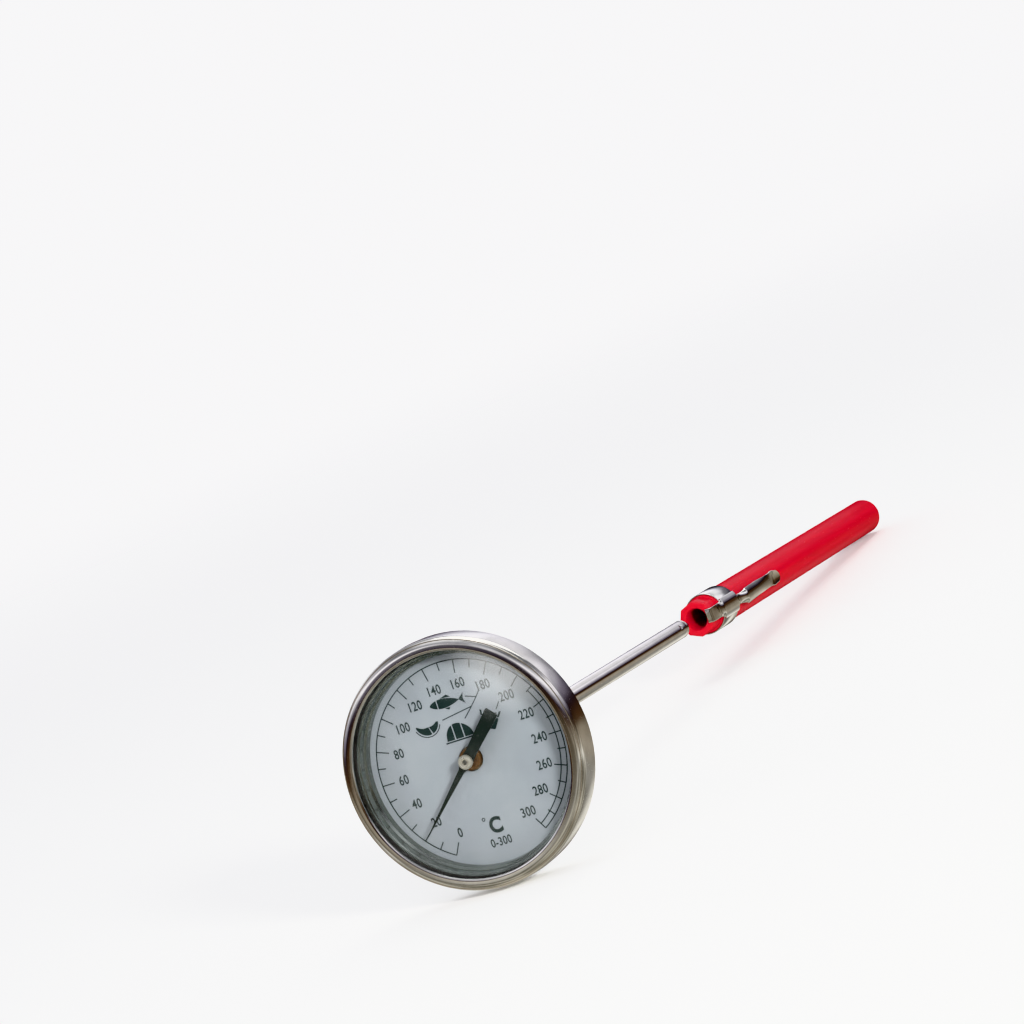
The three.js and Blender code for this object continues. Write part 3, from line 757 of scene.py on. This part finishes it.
def roll_mark():
    """A crescent roll: a thick crescent in two parts, with a thin rind line below it."""
    cx, cz = -6.5, 9.4
    size, thickness = 2.55, 1.6
    marks = []
    for start, end in ((98, 164), (169, 262)):
        outer = [polar(size, math.radians(a)) for a in range(start, end, 4)]
        inner = []
        for a in range(end, start, -4):
            belly = math.sin(math.radians((a - 90) * 180 / 176)) ** 0.7
            inner.append(polar(size - thickness * max(belly, 0.05), math.radians(a)))
        marks.append(printed("roll", [(cx + x, cz + z) for x, z in outer + inner]))
    rind = [polar(size + 0.35, math.radians(a)) for a in range(112, 252, 5)]
    marks.append(printed_line([(cx + x, cz + z) for x, z in rind], 0.2))
    return marks


def joint_mark():
    """A roast on a board: a domed joint cut into three slices."""
    cx, cz = -0.5, 4.5
    half_width, height = 3.0, 3.1
    marks = []
    for left, right, lean in ((-1.0, -0.42, 0.1), (-0.33, 0.25, 0.05), (0.34, 1.0, 0.0)):
        steps = 8
        sides = [left + (right - left) * i / steps for i in range(steps + 1)]
        rises = [(1 - u * u) ** 0.5 for u in sides]
        top = [
            (cx + half_width * u + lean * rise, cz + height * rise * (1 - 0.12 * u))
            for u, rise in zip(sides, rises)
        ]
        base = [(cx + half_width * u, cz) for u in (right, left) if abs(u) < 1]
        marks.append(printed("joint", top + base))
    board = [(cx - 3.4, cz - 0.3), (cx + 3.3, cz - 0.3)]
    marks.append(printed_line(board, 0.3))
    return marks


def chips_mark():
    """A carton of chips: slanted sticks over a tapered box."""
    cx, cz = 6.7, 6.5
    turn = turned_by((cx, cz), -24)
    box = [(cx - 1.9, cz + 0.2, 0.2), (cx + 1.9, cz + 0.2, 0.2), (cx + 1.35, cz - 2.1, 0.2)]
    box.append((cx - 1.35, cz - 2.1, 0.2))
    marks = [printed("carton", rounded(box, 3), turn)]
    random.seed(4)
    for i in range(6):
        x = cx - 1.7 + 0.68 * i
        lean = 0.14 * (i - 2.5)
        top = cz + 1.7 + random.uniform(-0.5, 0.6)
        stick = [(x - 0.2, cz + 0.4), (x - 0.2 + lean, top), (x + 0.2 + lean, top), (x + 0.2, cz + 0.4)]
        marks.append(printed("chip", stick, turn))
    return marks


def leader_lines():
    """Thin lines from the 180 and 200 figures to the marks they belong to."""
    line = 0.2
    start = polar(14.1, scale_angle(178))
    fork = polar(12.6, scale_angle(176))
    knee = (3.9, 9.8)
    return [
        printed_line([start, fork, knee], line),
        printed_line([fork, (3.3, 12.1)], line),
        printed_line([knee, (-3.0, 8.9)], line),
        printed_line([knee, (1.7, 7.9)], line),
        printed_line([polar(13.3, scale_angle(197)), polar(11.6, scale_angle(198))], line),
    ]


def pictograms():
    marks = fish_mark() + roll_mark() + joint_mark() + chips_mark() + leader_lines()
    return joined("dial_pictograms", marks)


# ---- The pointer ----


def at_rest_reading(obj):
    """Turns a piece that was drawn pointing up to the reading at rest."""
    obj.data.transform(Matrix.Rotation(scale_angle(REST_READING), 4, "Y"))
    return obj


def pointer_blade():
    """A pressed blade: long needle, waist round the hub and a broad tail."""
    needle, tail = 18.2, 11.8
    half = [
        (0.06, needle, 0.045),
        (0.62, 2.2, 1.0),
        (1.28, 0.7, 0.5),
        (1.28, -0.8, 0.6),
        (1.12, -2.2, 1.5),
        (1.42, -tail + 0.5, 0.6),
        (1.3, -tail, 0.18),
    ]
    mirrored = [(-x, z, size) for x, z, size in reversed(half)]
    outline = rounded(half + mirrored, 4)
    edge = 0.035
    drawn_in = inset(outline, edge)
    layers = [(drawn_in, BLADE_REAR), (outline, BLADE_REAR - edge)]
    layers += [(outline, BLADE_FRONT + edge), (drawn_in, BLADE_FRONT)]
    return at_rest_reading(smooth(layered("pointer_blade_pressed", layers), 30))


def pointer_hub():
    """A turned cap: a chamfered rim, a dished face and the bore that shows the shaft's end."""
    bore = 0.53
    r = radius("pointer_hub")
    corners = [
        (bore, HUB_REAR, 0.05),
        (r - 0.2, HUB_REAR, 0.1),
        (r - 0.2, BLADE_REAR + 0.02),
        (0.8, BLADE_REAR + 0.02),
        (0.8, BLADE_FRONT - 0.02),
        (r, BLADE_FRONT - 0.02, 0.06),
        (r, HUB_FRONT + 0.42, 0.15),
        (r - 0.3, HUB_FRONT + 0.05, 0.15),
        (bore + 0.35, HUB_FRONT, 0.08),
        (bore + 0.25, HUB_FRONT + 0.2, 0.05),
        (bore, HUB_FRONT + 0.22, 0.04),
    ]
    return turned("pointer_hub_turned", corners)


def pointer_shaft():
    """The rod from the hub to the coil's carrier, with a domed end sunk in the hub's bore."""
    front, rear = ends("pointer_shaft")
    sunk = 0.35
    corners = [
        (0, front + sunk),
        (0.3, front + sunk, 0.15),
        (0.5, front + sunk + 0.18, 0.12),
        (0.5, rear - 1.5),
        (radius("pointer_shaft"), rear - 1.5, 0.1),
        (radius("pointer_shaft"), rear, 0.1),
        (0, rear),
    ]
    return turned("pointer_shaft_drawn", corners, 32, 3)


def bimetal_coil():
    """The helix of rolled strip."""
    start, end = ends("bimetal_coil")
    outer, thick, width, turns = 1.34, 0.22, 1.3, 14
    inner = outer - thick
    per_turn = 40
    steps = turns * per_turn
    rings = []
    for i in range(steps + 1):
        a = 2 * math.pi * i / per_turn
        low = start + (end - start - width) * i / steps
        corners = ((inner, low), (outer, low), (outer, low + width), (inner, low + width))
        rings.append([(r * math.sin(a), y, r * math.cos(a)) for r, y in corners])
    return smooth(lofted("bimetal_coil_wound", rings), 40)


# ---- The stem ----


def hex_nut():
    """A hexagon nut: chamfered at both faces, with a countersunk bore."""
    corner = NUT_FLAT / math.cos(math.pi / 6)
    hexagon = [polar(corner, math.pi / 2 - math.pi / 3 * i) for i in range(6)]
    nut = layered("hex_nut_chamfered", [(hexagon, NUT_FRONT), (hexagon, NUT_REAR)])
    chamfer = 0.62
    touch = NUT_FLAT - 0.12
    bore = 2.66
    corners = [
        (bore + 0.3, NUT_FRONT),
        (touch, NUT_FRONT, 0.2),
        (corner - 0.16, NUT_FRONT + chamfer, 0.3),
        (corner - 0.16, NUT_REAR - chamfer, 0.3),
        (touch, NUT_REAR, 0.2),
        (bore + 0.3, NUT_REAR),
        (bore, NUT_REAR - 0.3),
        (bore, NUT_FRONT + 0.3),
    ]
    envelope = turned("envelope", corners, 120)
    modified(nut, "BOOLEAN", operation="INTERSECT", object=envelope, solver="EXACT")
    bpy.data.objects.remove(envelope)
    limit = math.radians(28)
    modified(nut, "BEVEL", width=0.1 * MM, segments=2, limit_method="ANGLE", angle_limit=limit)
    return smooth(nut, 30)


def stem_neck():
    front, rear = ends("stem_neck")
    flange = CUP_BACK
    bore, outer, inside = 2.03, 2.6, 2.5
    groove = ends("retaining_clip")
    corners = [
        (bore, front, 0.05),
        (bore, rear, 0.12),
        (outer, rear, 0.2),
        (outer, flange + 0.55, 0.15),
        (4.0, flange + 0.55, 0.12),
        (4.0, flange + 0.05, 0.08),
        (inside, flange + 0.05),
        (inside, groove[1] + 0.03),
        (2.3, groove[1] + 0.03),
        (2.3, groove[0] - 0.03),
        (inside, groove[0] - 0.03),
        (inside, front, 0.1),
    ]
    return turned("stem_neck_turned", corners)


def staked(obj, place, turns, depth, size):
    """Presses round stake marks into a tube, where the anchor inside it is held."""
    for vertex in obj.data.vertices:
        x, y, z = vertex.co / MM
        if math.hypot(x, z) < STEM_RADIUS - 0.05:
            continue
        angle = math.atan2(x, z)
        for turn in turns:
            swing = math.remainder(angle - turn, 2 * math.pi) * STEM_RADIUS
            far = math.hypot(swing, y - place)
            press = depth * math.exp(-((far / size) ** 2))
            vertex.co -= Vector((x, 0, z)).normalized() * press * MM
    return obj


def stem_tube():
    """The drawn tube, finely divided near the anchor so that the stake marks are round."""
    bore = 1.65
    place = sum(ends("coil_anchor")) / 2
    fine = [(STEM_RADIUS, place - 1.5 + 0.1 * i) for i in range(31)]
    corners = [
        (bore, TUBE_START, 0.05),
        (STEM_RADIUS, TUBE_START, 0.08),
        *fine,
        (STEM_RADIUS, TUBE_END, 0.08),
        (bore, TUBE_END, 0.05),
    ]
    tube = turned("stem_tube_drawn", corners)
    third = 2 * math.pi / 3
    return staked(tube, place, [1.2, 1.2 + third, 1.2 - third], 0.14, 0.45)


def stem_tip():
    """The pointed plug: a spigot in the tube, a short land, and a cone with a blunt end."""
    start = ends("stem_tip")[0]
    corners = [
        (0, start),
        (1.6, start, 0.1),
        (1.6, TUBE_END),
        (STEM_RADIUS, TUBE_END, 0.08),
        (STEM_RADIUS, TUBE_END + 0.7, 0.8),
        (0.42, TIP_END - 0.22, 0.3),
        (0.16, TIP_END, 0.12),
        (0, TIP_END),
    ]
    return turned("stem_tip_pointed", corners, STEM_SEGMENTS, 8)


def bearing_bush():
    front, rear = ends("bearing_bush")
    r = radius("bearing_bush")
    bore = 0.58
    seat = DIAL_BACK + 0.05
    corners = [
        (bore, rear, 0.05),
        (1.6, rear, 0.1),
        (1.6, seat),
        (r, seat, 0.05),
        (r, front + 0.2, 0.18),
        (r - 0.25, front, 0.15),
        (1.25, front, 0.08),
        (1.15, front + 0.18, 0.08),
        (bore + 0.2, front + 0.18, 0.1),
        (bore, front + 0.35),
    ]
    return turned("bearing_bush_turned", corners)


# ---- The sheath ----


def sheath_tube():
    """A moulded tube with a closed, slightly crowned end, two parting lines and an eight-sided mouth."""
    segments = 128
    sides = 8
    throat, bore, taper = 2.35, 3.2, 0.1
    mouth_end = BAND_START - 0.05

    def outer(turn, y):
        """Outer radius: eight flats at the mouth, round beyond the band, with parting lines."""
        swing = math.remainder(turn - math.pi / sides, 2 * math.pi / sides)
        facet = MOUTH_FLAT * min(1 / math.cos(swing), 1 / math.cos(math.pi / sides) - 0.015)
        if y <= mouth_end:
            return facet
        line = 0.05 * math.exp(-((math.remainder(turn - math.pi / 2, math.pi) / 0.035) ** 2))
        draft = taper * (y - BAND_START) / (SHEATH_END - BAND_START)
        return SHEATH_RADIUS - draft + line

    edge, crown = 0.45, 0.35
    rim = SHEATH_END - crown - edge  # where the closed end's edge starts to turn in
    face = SHEATH_RADIUS - taper - edge  # radius of the crowned end face
    stations = [(SHEATH_MOUTH, -0.3), (SHEATH_MOUTH + 0.09, -0.09), (SHEATH_MOUTH + 0.3, 0)]
    stations += [(SHEATH_MOUTH + 3, 0), (mouth_end - 0.02, 0), (mouth_end + 0.02, -0.12)]
    stations += [(mouth_end + 0.12, 0), (BAND_REAR + 4, 0)]
    length = rim - (BAND_REAR + 4)
    stations += [(BAND_REAR + 4 + length * i / 6, 0) for i in range(1, 7)]
    for i in range(1, 7):
        a = math.radians(15) * i
        stations.append((rim + edge * math.sin(a), edge * (math.cos(a) - 1)))
    bottom = SHEATH_MOUTH + 130.4  # of the bore
    inner = [
        (bottom, bore - 1.2),
        (bottom - 0.9, bore),
        (SHEATH_MOUTH + 7, bore),
        (SHEATH_MOUTH + 4, throat),
        (SHEATH_MOUTH + 0.6, throat),
        (SHEATH_MOUTH + 0.15, throat + 0.2),
        (SHEATH_MOUTH, throat + 0.42),
    ]
    end_face = [(SHEATH_END - crown * share**2, face * share) for share in (0.85, 0.65, 0.4, 0.2)]
    gate = [(SHEATH_END - 0.02, 0.5), (SHEATH_END - 0.2, 0.42)]

    def round_rings(places):
        return [circle(lambda turn, r=r: r, y, segments) for y, r in places]

    def outer_ring(y, drop):
        return circle(lambda turn: outer(turn, y) + drop, y, segments)

    outside = [outer_ring(*station) for station in stations]
    rings = round_rings(inner) + outside + round_rings(end_face + gate)
    return smooth(lofted("sheath_tube_moulded", rings), 24)


def clip_band():
    """The spring band: sheet rolled round the sheath, open at the back, with rolled edges."""
    inner = SHEATH_RADIUS + 0.03
    outer = inner + CLIP_SHEET
    low, high = BAND_START + 0.02, BAND_REAR - 0.02
    corners = [(inner, low), (outer, low), (outer, high), (inner, high)]
    section = rounded([(*corner, 0.12) for corner in corners], 3)
    half = math.radians(165)
    steps = 96
    turns = [half * (2 * i / steps - 1) for i in range(steps + 1)]
    rings = [[(r * math.cos(a), y, r * math.sin(a)) for r, y in section] for a in turns]
    return smooth(lofted("clip_band_rolled", rings), 40)


def eased(stations, y, column):
    """A value that runs smoothly from station to station, at a place y. A station starts with its y."""
    for before, after in zip(stations, stations[1:]):
        if y < after[0]:
            t = max(0.0, (y - before[0]) / (after[0] - before[0]))
            return before[column] + (after[column] - before[column]) * t * t * (3 - 2 * t)
    return stations[-1][column]


def sheet_section(half, droop, sheet, edge):
    """The outline (across, out) of a sheet that droops towards its two rounded edges."""
    across, bow = 12, 2.8
    top, bottom = [], []
    for k in range(across + 1):
        v = 2 * k / across - 1
        fall = droop * abs(v) ** bow
        tilt = math.copysign(math.atan(bow * fall / half / max(abs(v), 0.01)), -v * droop)
        top.append((half * v, -fall))
        bottom.append((half * v + sheet * math.sin(tilt), -fall - sheet * math.cos(tilt)))
    ends_of_sheet = (0, across, across + 1, 2 * across + 1)
    loop = top + bottom[::-1]
    return rounded([(*p, edge if i in ends_of_sheet else 0) for i, p in enumerate(loop)], 3)


def clip_strip():
    """The pressed strip: hook over the mouth, tab, raised panel, neck, channelled tongue and foot."""
    sheet, edge, spacing = CLIP_SHEET, 0.13, 0.3
    hook = SHEATH_MOUTH - 0.45
    tab = MOUTH_FLAT + sheet + 0.03
    panel = SHEATH_RADIUS + 0.95
    neck = SHEATH_RADIUS + sheet + 0.15
    foot = SHEATH_RADIUS + sheet + 0.12
    bends = [  # (y, height of the outer face, radius of the bend)
        (hook, 2.75),
        (hook, tab, 0.55),
        (BAND_START - 1.1, tab, 0.8),
        (BAND_START - 0.2, panel, 0.7),
        (BAND_REAR - 0.3, panel, 0.6),
        (ARM_START + 0.35, neck, 0.7),
        (ARM_START + 1.3, neck, 0.7),
        (ARM_START + 2.7, ARM_HIGH, 0.9),
        (ARM_END - 5.0, foot, 25),
        (ARM_END - 2.8, foot, 5),
        (ARM_END - 0.1, foot + 0.95),
    ]
    widths = [  # (y, half width, droop of the edges)
        (hook, 1.6, 0.0),
        (BAND_START - 1.1, 1.65, 0.1),
        (BAND_START + 0.1, 2.4, 0.8),
        (BAND_REAR - 0.45, 2.4, 0.8),
        (ARM_START + 0.2, 1.2, 0.1),
        (ARM_START + 1.3, 1.2, 0.1),
        (ARM_START + 3.0, 1.85, 0.8),
        (ARM_START + 12.0, 1.8, 0.85),
        (ARM_END - 6.5, 1.6, 0.25),
        (ARM_END - 4.2, 1.55, 0.0),
        (ARM_END - 2.6, 1.7, -0.12),
        (ARM_END - 0.9, 1.4, -0.1),
        (ARM_END, 0.4, 0.0),
    ]
    line = rounded(bends, 6)
    rows = [line[0]]
    for before, after in zip(line, line[1:]):
        steps = math.ceil(math.dist(before, after) / spacing)
        rows += [tuple(Vector(before).lerp(Vector(after), (i + 1) / steps)) for i in range(steps)]
    rings = []
    for before, (y, height), after in zip(rows[:1] + rows, rows, rows[1:] + rows[-1:]):
        ahead = (Vector(after) - Vector(before)).normalized()
        section = sheet_section(eased(widths, y, 1), eased(widths, y, 2), sheet, edge)
        rings.append([(height + out * ahead.x, y - out * ahead.y, z) for z, out in section])
    return smooth(lofted("clip_strip_pressed", rings), 40)


# ---- Build ----


def build_head():
    bezel = bezel_steel()
    install(bezel_ring(), "head", bezel, "polished_steel", "bezel_ring")
    install(case_cup(), "head", case_steel(), "polished_steel", "case_cup")
    install(lens(), "head", window_glass(), "lens_glass", "lens")
    install(spacer_ring(), "head", wall_metal(), "inner_wall", "spacer_ring")
    install(dial_plate(), "head", dial_lacquer(), "dial_print", "dial_plate")
    printing = ink()
    for mark in (scale_marks(), numerals(), unit_mark(), pictograms()):
        install(mark, "head", printing, "dial_print")


def build_pointer():
    install(pointer_blade(), "pointer", pointer_paint(), "pointer_black", "pointer_blade")
    install(pointer_hub(), "pointer", hub_nickel(), "nickel_plate", "pointer_hub")
    install(pointer_shaft(), "pointer", spring_finish, "spring_steel", "pointer_shaft")
    install(bimetal_coil(), "pointer", bimetal(), "bimetal", "bimetal_coil")


def build_stem():
    steel = stem_steel()
    install(hex_nut(), "stem", nickel_finish, "nickel_plate", "hex_nut")
    install(stem_neck(), "stem", nickel_finish, "nickel_plate", "stem_neck")
    install(stem_tube(), "stem", steel, "stem_steel", "stem_tube")
    install(stem_tip(), "stem", steel, "stem_steel", "stem_tip")
    install(bearing_bush(), "stem", brass_finish, "brass", "bearing_bush")


def build_sheath():
    chrome = clip_chrome()
    install(sheath_tube(), "sheath", red_plastic(), "sheath_plastic", "sheath_tube")
    install(clip_band(), "sheath", chrome, "clip_chrome", "clip_band")
    strip = clip_strip()
    strip.data.materials.append(chrome)
    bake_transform(strip)
    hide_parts("clip_arm")


def finish_inner_nodes():
    """Materials for the CAD pieces that are shown as they are, inside the case and the stem."""
    finishes = {
        "lens_gasket": rubber(),
        "friction_washer": spring_finish,
        "retaining_clip": spring_finish,
        "upper_guide_bush": plastic_finish,
        "lower_guide_bush": plastic_finish,
        "coil_anchor": brass_finish,
    }
    for node, material in finishes.items():
        mesh = frame["nodes"][node].data
        mesh.materials.clear()
        mesh.materials.append(material)


nickel_finish = nickel()
spring_finish = spring_steel()
brass_finish = brass()
plastic_finish = white_plastic()
build_head()
build_pointer()
build_stem()
build_sheath()
finish_inner_nodes()


# ---- Studio ----


def floor_paper():
    """Matt paper that glows a little to the camera, and fades out far away."""
    s = Shader("floor_paper", (0.87, 0.87, 0.84), 0.85)
    tint = s.mix(s.noise(0.002, 3.0), (0.88, 0.877, 0.845), (0.85, 0.847, 0.817))
    s.set(base_color=tint, normal=s.bump(s.noise(1.2, 3.0), 0.02, 0.3))
    glow = s.math("MULTIPLY", s.node("LightPath").outputs["Is Camera Ray"], 0.1)
    s.set(emission_color=(1, 1, 1, 1), emission_strength=glow)
    far = s.node("VectorMath", {0: s.place}, operation="LENGTH").outputs["Value"]
    fade = s.span(far, 0.3, 1.1, ease="SMOOTHSTEP")
    s.show("Material Output", fade, s.surface, s.node("BsdfTransparent"))
    return s.material


def floor():
    """A pale floor that touches the head's rim and the sheath's closed end."""
    reach, gap = 3.0, 0.0003  # metres
    head_y, head_z = (BEZEL_REAR - 0.8) * MM, -CASE_RADIUS * MM
    end_y, end_z = (SHEATH_END - 1.0) * MM, -SHEATH_RADIUS * MM
    slope = (end_z - head_z) / (end_y - head_y)
    height = head_z - slope * head_y - gap
    bm = bmesh.new()
    corners = [(-reach, -reach), (reach, -reach), (reach, reach), (-reach, reach)]
    bm.faces.new([bm.verts.new((x, y, height + slope * y)) for x, y in corners])
    obj = from_bmesh("floor", bm)
    obj.data.materials.append(floor_paper())
    obj.visible_glossy = False


ROOM_TONES = [  # height of the direction, from -1 (down) to 1 (up), and the room's colour there
    (-1.0, (0.42, 0.40, 0.34)),
    (-0.46, (0.40, 0.385, 0.34)),
    (-0.37, (0.66, 0.645, 0.60)),
    (-0.24, (0.40, 0.365, 0.31)),
    (-0.11, (0.30, 0.265, 0.215)),
    (-0.03, (0.085, 0.05, 0.035)),
    (0.07, (0.035, 0.028, 0.03)),
    (0.16, (0.17, 0.155, 0.20)),
    (0.26, (0.38, 0.375, 0.43)),
    (0.36, (0.84, 0.83, 0.92)),
    (0.44, (0.98, 0.97, 1.04)),
    (0.56, (0.50, 0.50, 0.56)),
    (0.75, (0.34, 0.35, 0.39)),
    (1.0, (0.75, 0.76, 0.80)),
]
ROOM_STRENGTH = 1.3
ROOM_DARKEST, ROOM_LIGHTEST = 0.45, 1.25  # of that strength, where things stand and between them
BACKDROP = (0.995, 0.99, 1.0)
BACKDROP_STRENGTH = 1.45


def world():
    """Plain white to the camera; to everything else, a room with a khaki floor, a dark skirting
    and a bright band of windows under a grey ceiling, darker in patches where things stand."""
    made = bpy.data.worlds.new("studio")
    bpy.context.scene.world = made
    made.use_nodes = True
    n = Nodes(made.node_tree, "Generated")
    up = n.node("SeparateXYZ", {0: n.place}).outputs["Z"]
    tones = n.node("ValToRGB", {"Fac": n.span(up, -1.0, 1.0)})
    tones.color_ramp.interpolation = "EASE"
    elements = tones.color_ramp.elements
    while len(elements) < len(ROOM_TONES):
        elements.new(0.5)
    for element, (height, colour) in zip(elements, ROOM_TONES):
        element.position = (height + 1) / 2
        element.color = (*colour, 1)
    things = n.node("TexNoise", {"Vector": n.place, "Scale": 2.2, "Detail": 1.0}).outputs["Fac"]
    shade = n.span(things, 0.4, 0.6, ROOM_DARKEST * ROOM_STRENGTH, ROOM_LIGHTEST * ROOM_STRENGTH)
    room = n.node("Background", {"Color": tones.outputs["Color"], "Strength": shade})
    plain = n.node("Background", {"Color": (*BACKDROP, 1), "Strength": BACKDROP_STRENGTH})
    n.show("World Output", n.node("LightPath").outputs["Is Camera Ray"], room, plain)


DIAL_CENTRE = Vector((0, BEZEL_FRONT * MM, 0))
LIGHT_DISTANCE = 1.0


def towards(azimuth, elevation):
    """The direction from the dial to a place at an azimuth and elevation, in degrees."""
    a, e = math.radians(azimuth), math.radians(elevation)
    return Vector((math.sin(a) * math.cos(e), -math.cos(a) * math.cos(e), math.sin(e)))


def softbox(name, azimuth, elevation, size, power, mirrored=True):
    """A rectangular area light that faces the dial. Metals show it only if it is mirrored."""
    light = bpy.data.lights.new(name, "AREA")
    light.shape = "RECTANGLE"
    light.size, light.size_y = size
    light.energy = power
    obj = new_object(name, light)
    away = towards(azimuth, elevation)
    obj.location = DIAL_CENTRE + away * LIGHT_DISTANCE
    obj.rotation_euler = (-away).to_track_quat("-Z", "Y").to_euler()
    obj.visible_glossy = mirrored


VIEW_AZIMUTH, VIEW_ELEVATION, VIEW_ROLL = 24.5, 5.4, 20.0
VIEW_DISTANCE = 0.9
DIAL_WIDTH_SHARE = 0.2556  # of the picture's width
DIAL_OFFSET = (-0.0505, -0.2475)  # of the picture's width, from its middle


def camera():
    """Looks at the dial from its right, turned so that the dial's top leans left."""
    data = bpy.data.cameras.new("camera")
    obj = new_object("camera", data)
    back = towards(VIEW_AZIMUTH, VIEW_ELEVATION)
    picture = 2 * CASE_RADIUS * MM / DIAL_WIDTH_SHARE
    data.sensor_width = 36
    data.lens = data.sensor_width * VIEW_DISTANCE / picture
    data.clip_start, data.clip_end = 0.01, 20
    place = DIAL_CENTRE + back * VIEW_DISTANCE
    turn = (-back).to_track_quat("-Z", "Y").to_matrix()
    turn = turn @ Matrix.Rotation(-math.radians(VIEW_ROLL), 3, "Z")
    across, up = turn.col[0], turn.col[1]
    aim = DIAL_CENTRE - across * DIAL_OFFSET[0] * picture - up * DIAL_OFFSET[1] * picture
    look = (aim - place).normalized()
    side = look.cross(up).normalized()
    final = Matrix((side, side.cross(look), -look)).transposed()
    obj.matrix_world = Matrix.Translation(place) @ final.to_4x4()
    bpy.context.scene.camera = obj


floor()
world()
softbox("front", 12, 26, (0.6, 0.5), 3, mirrored=False)
softbox("key", 48, 14, (0.16, 0.16), 15, mirrored=False)
softbox("fill", -50, 12, (0.4, 0.8), 3, mirrored=False)
softbox("top", 150, 70, (0.6, 1.0), 5)
camera()
bpy.context.scene.view_settings.view_transform = "Khronos PBR Neutral"
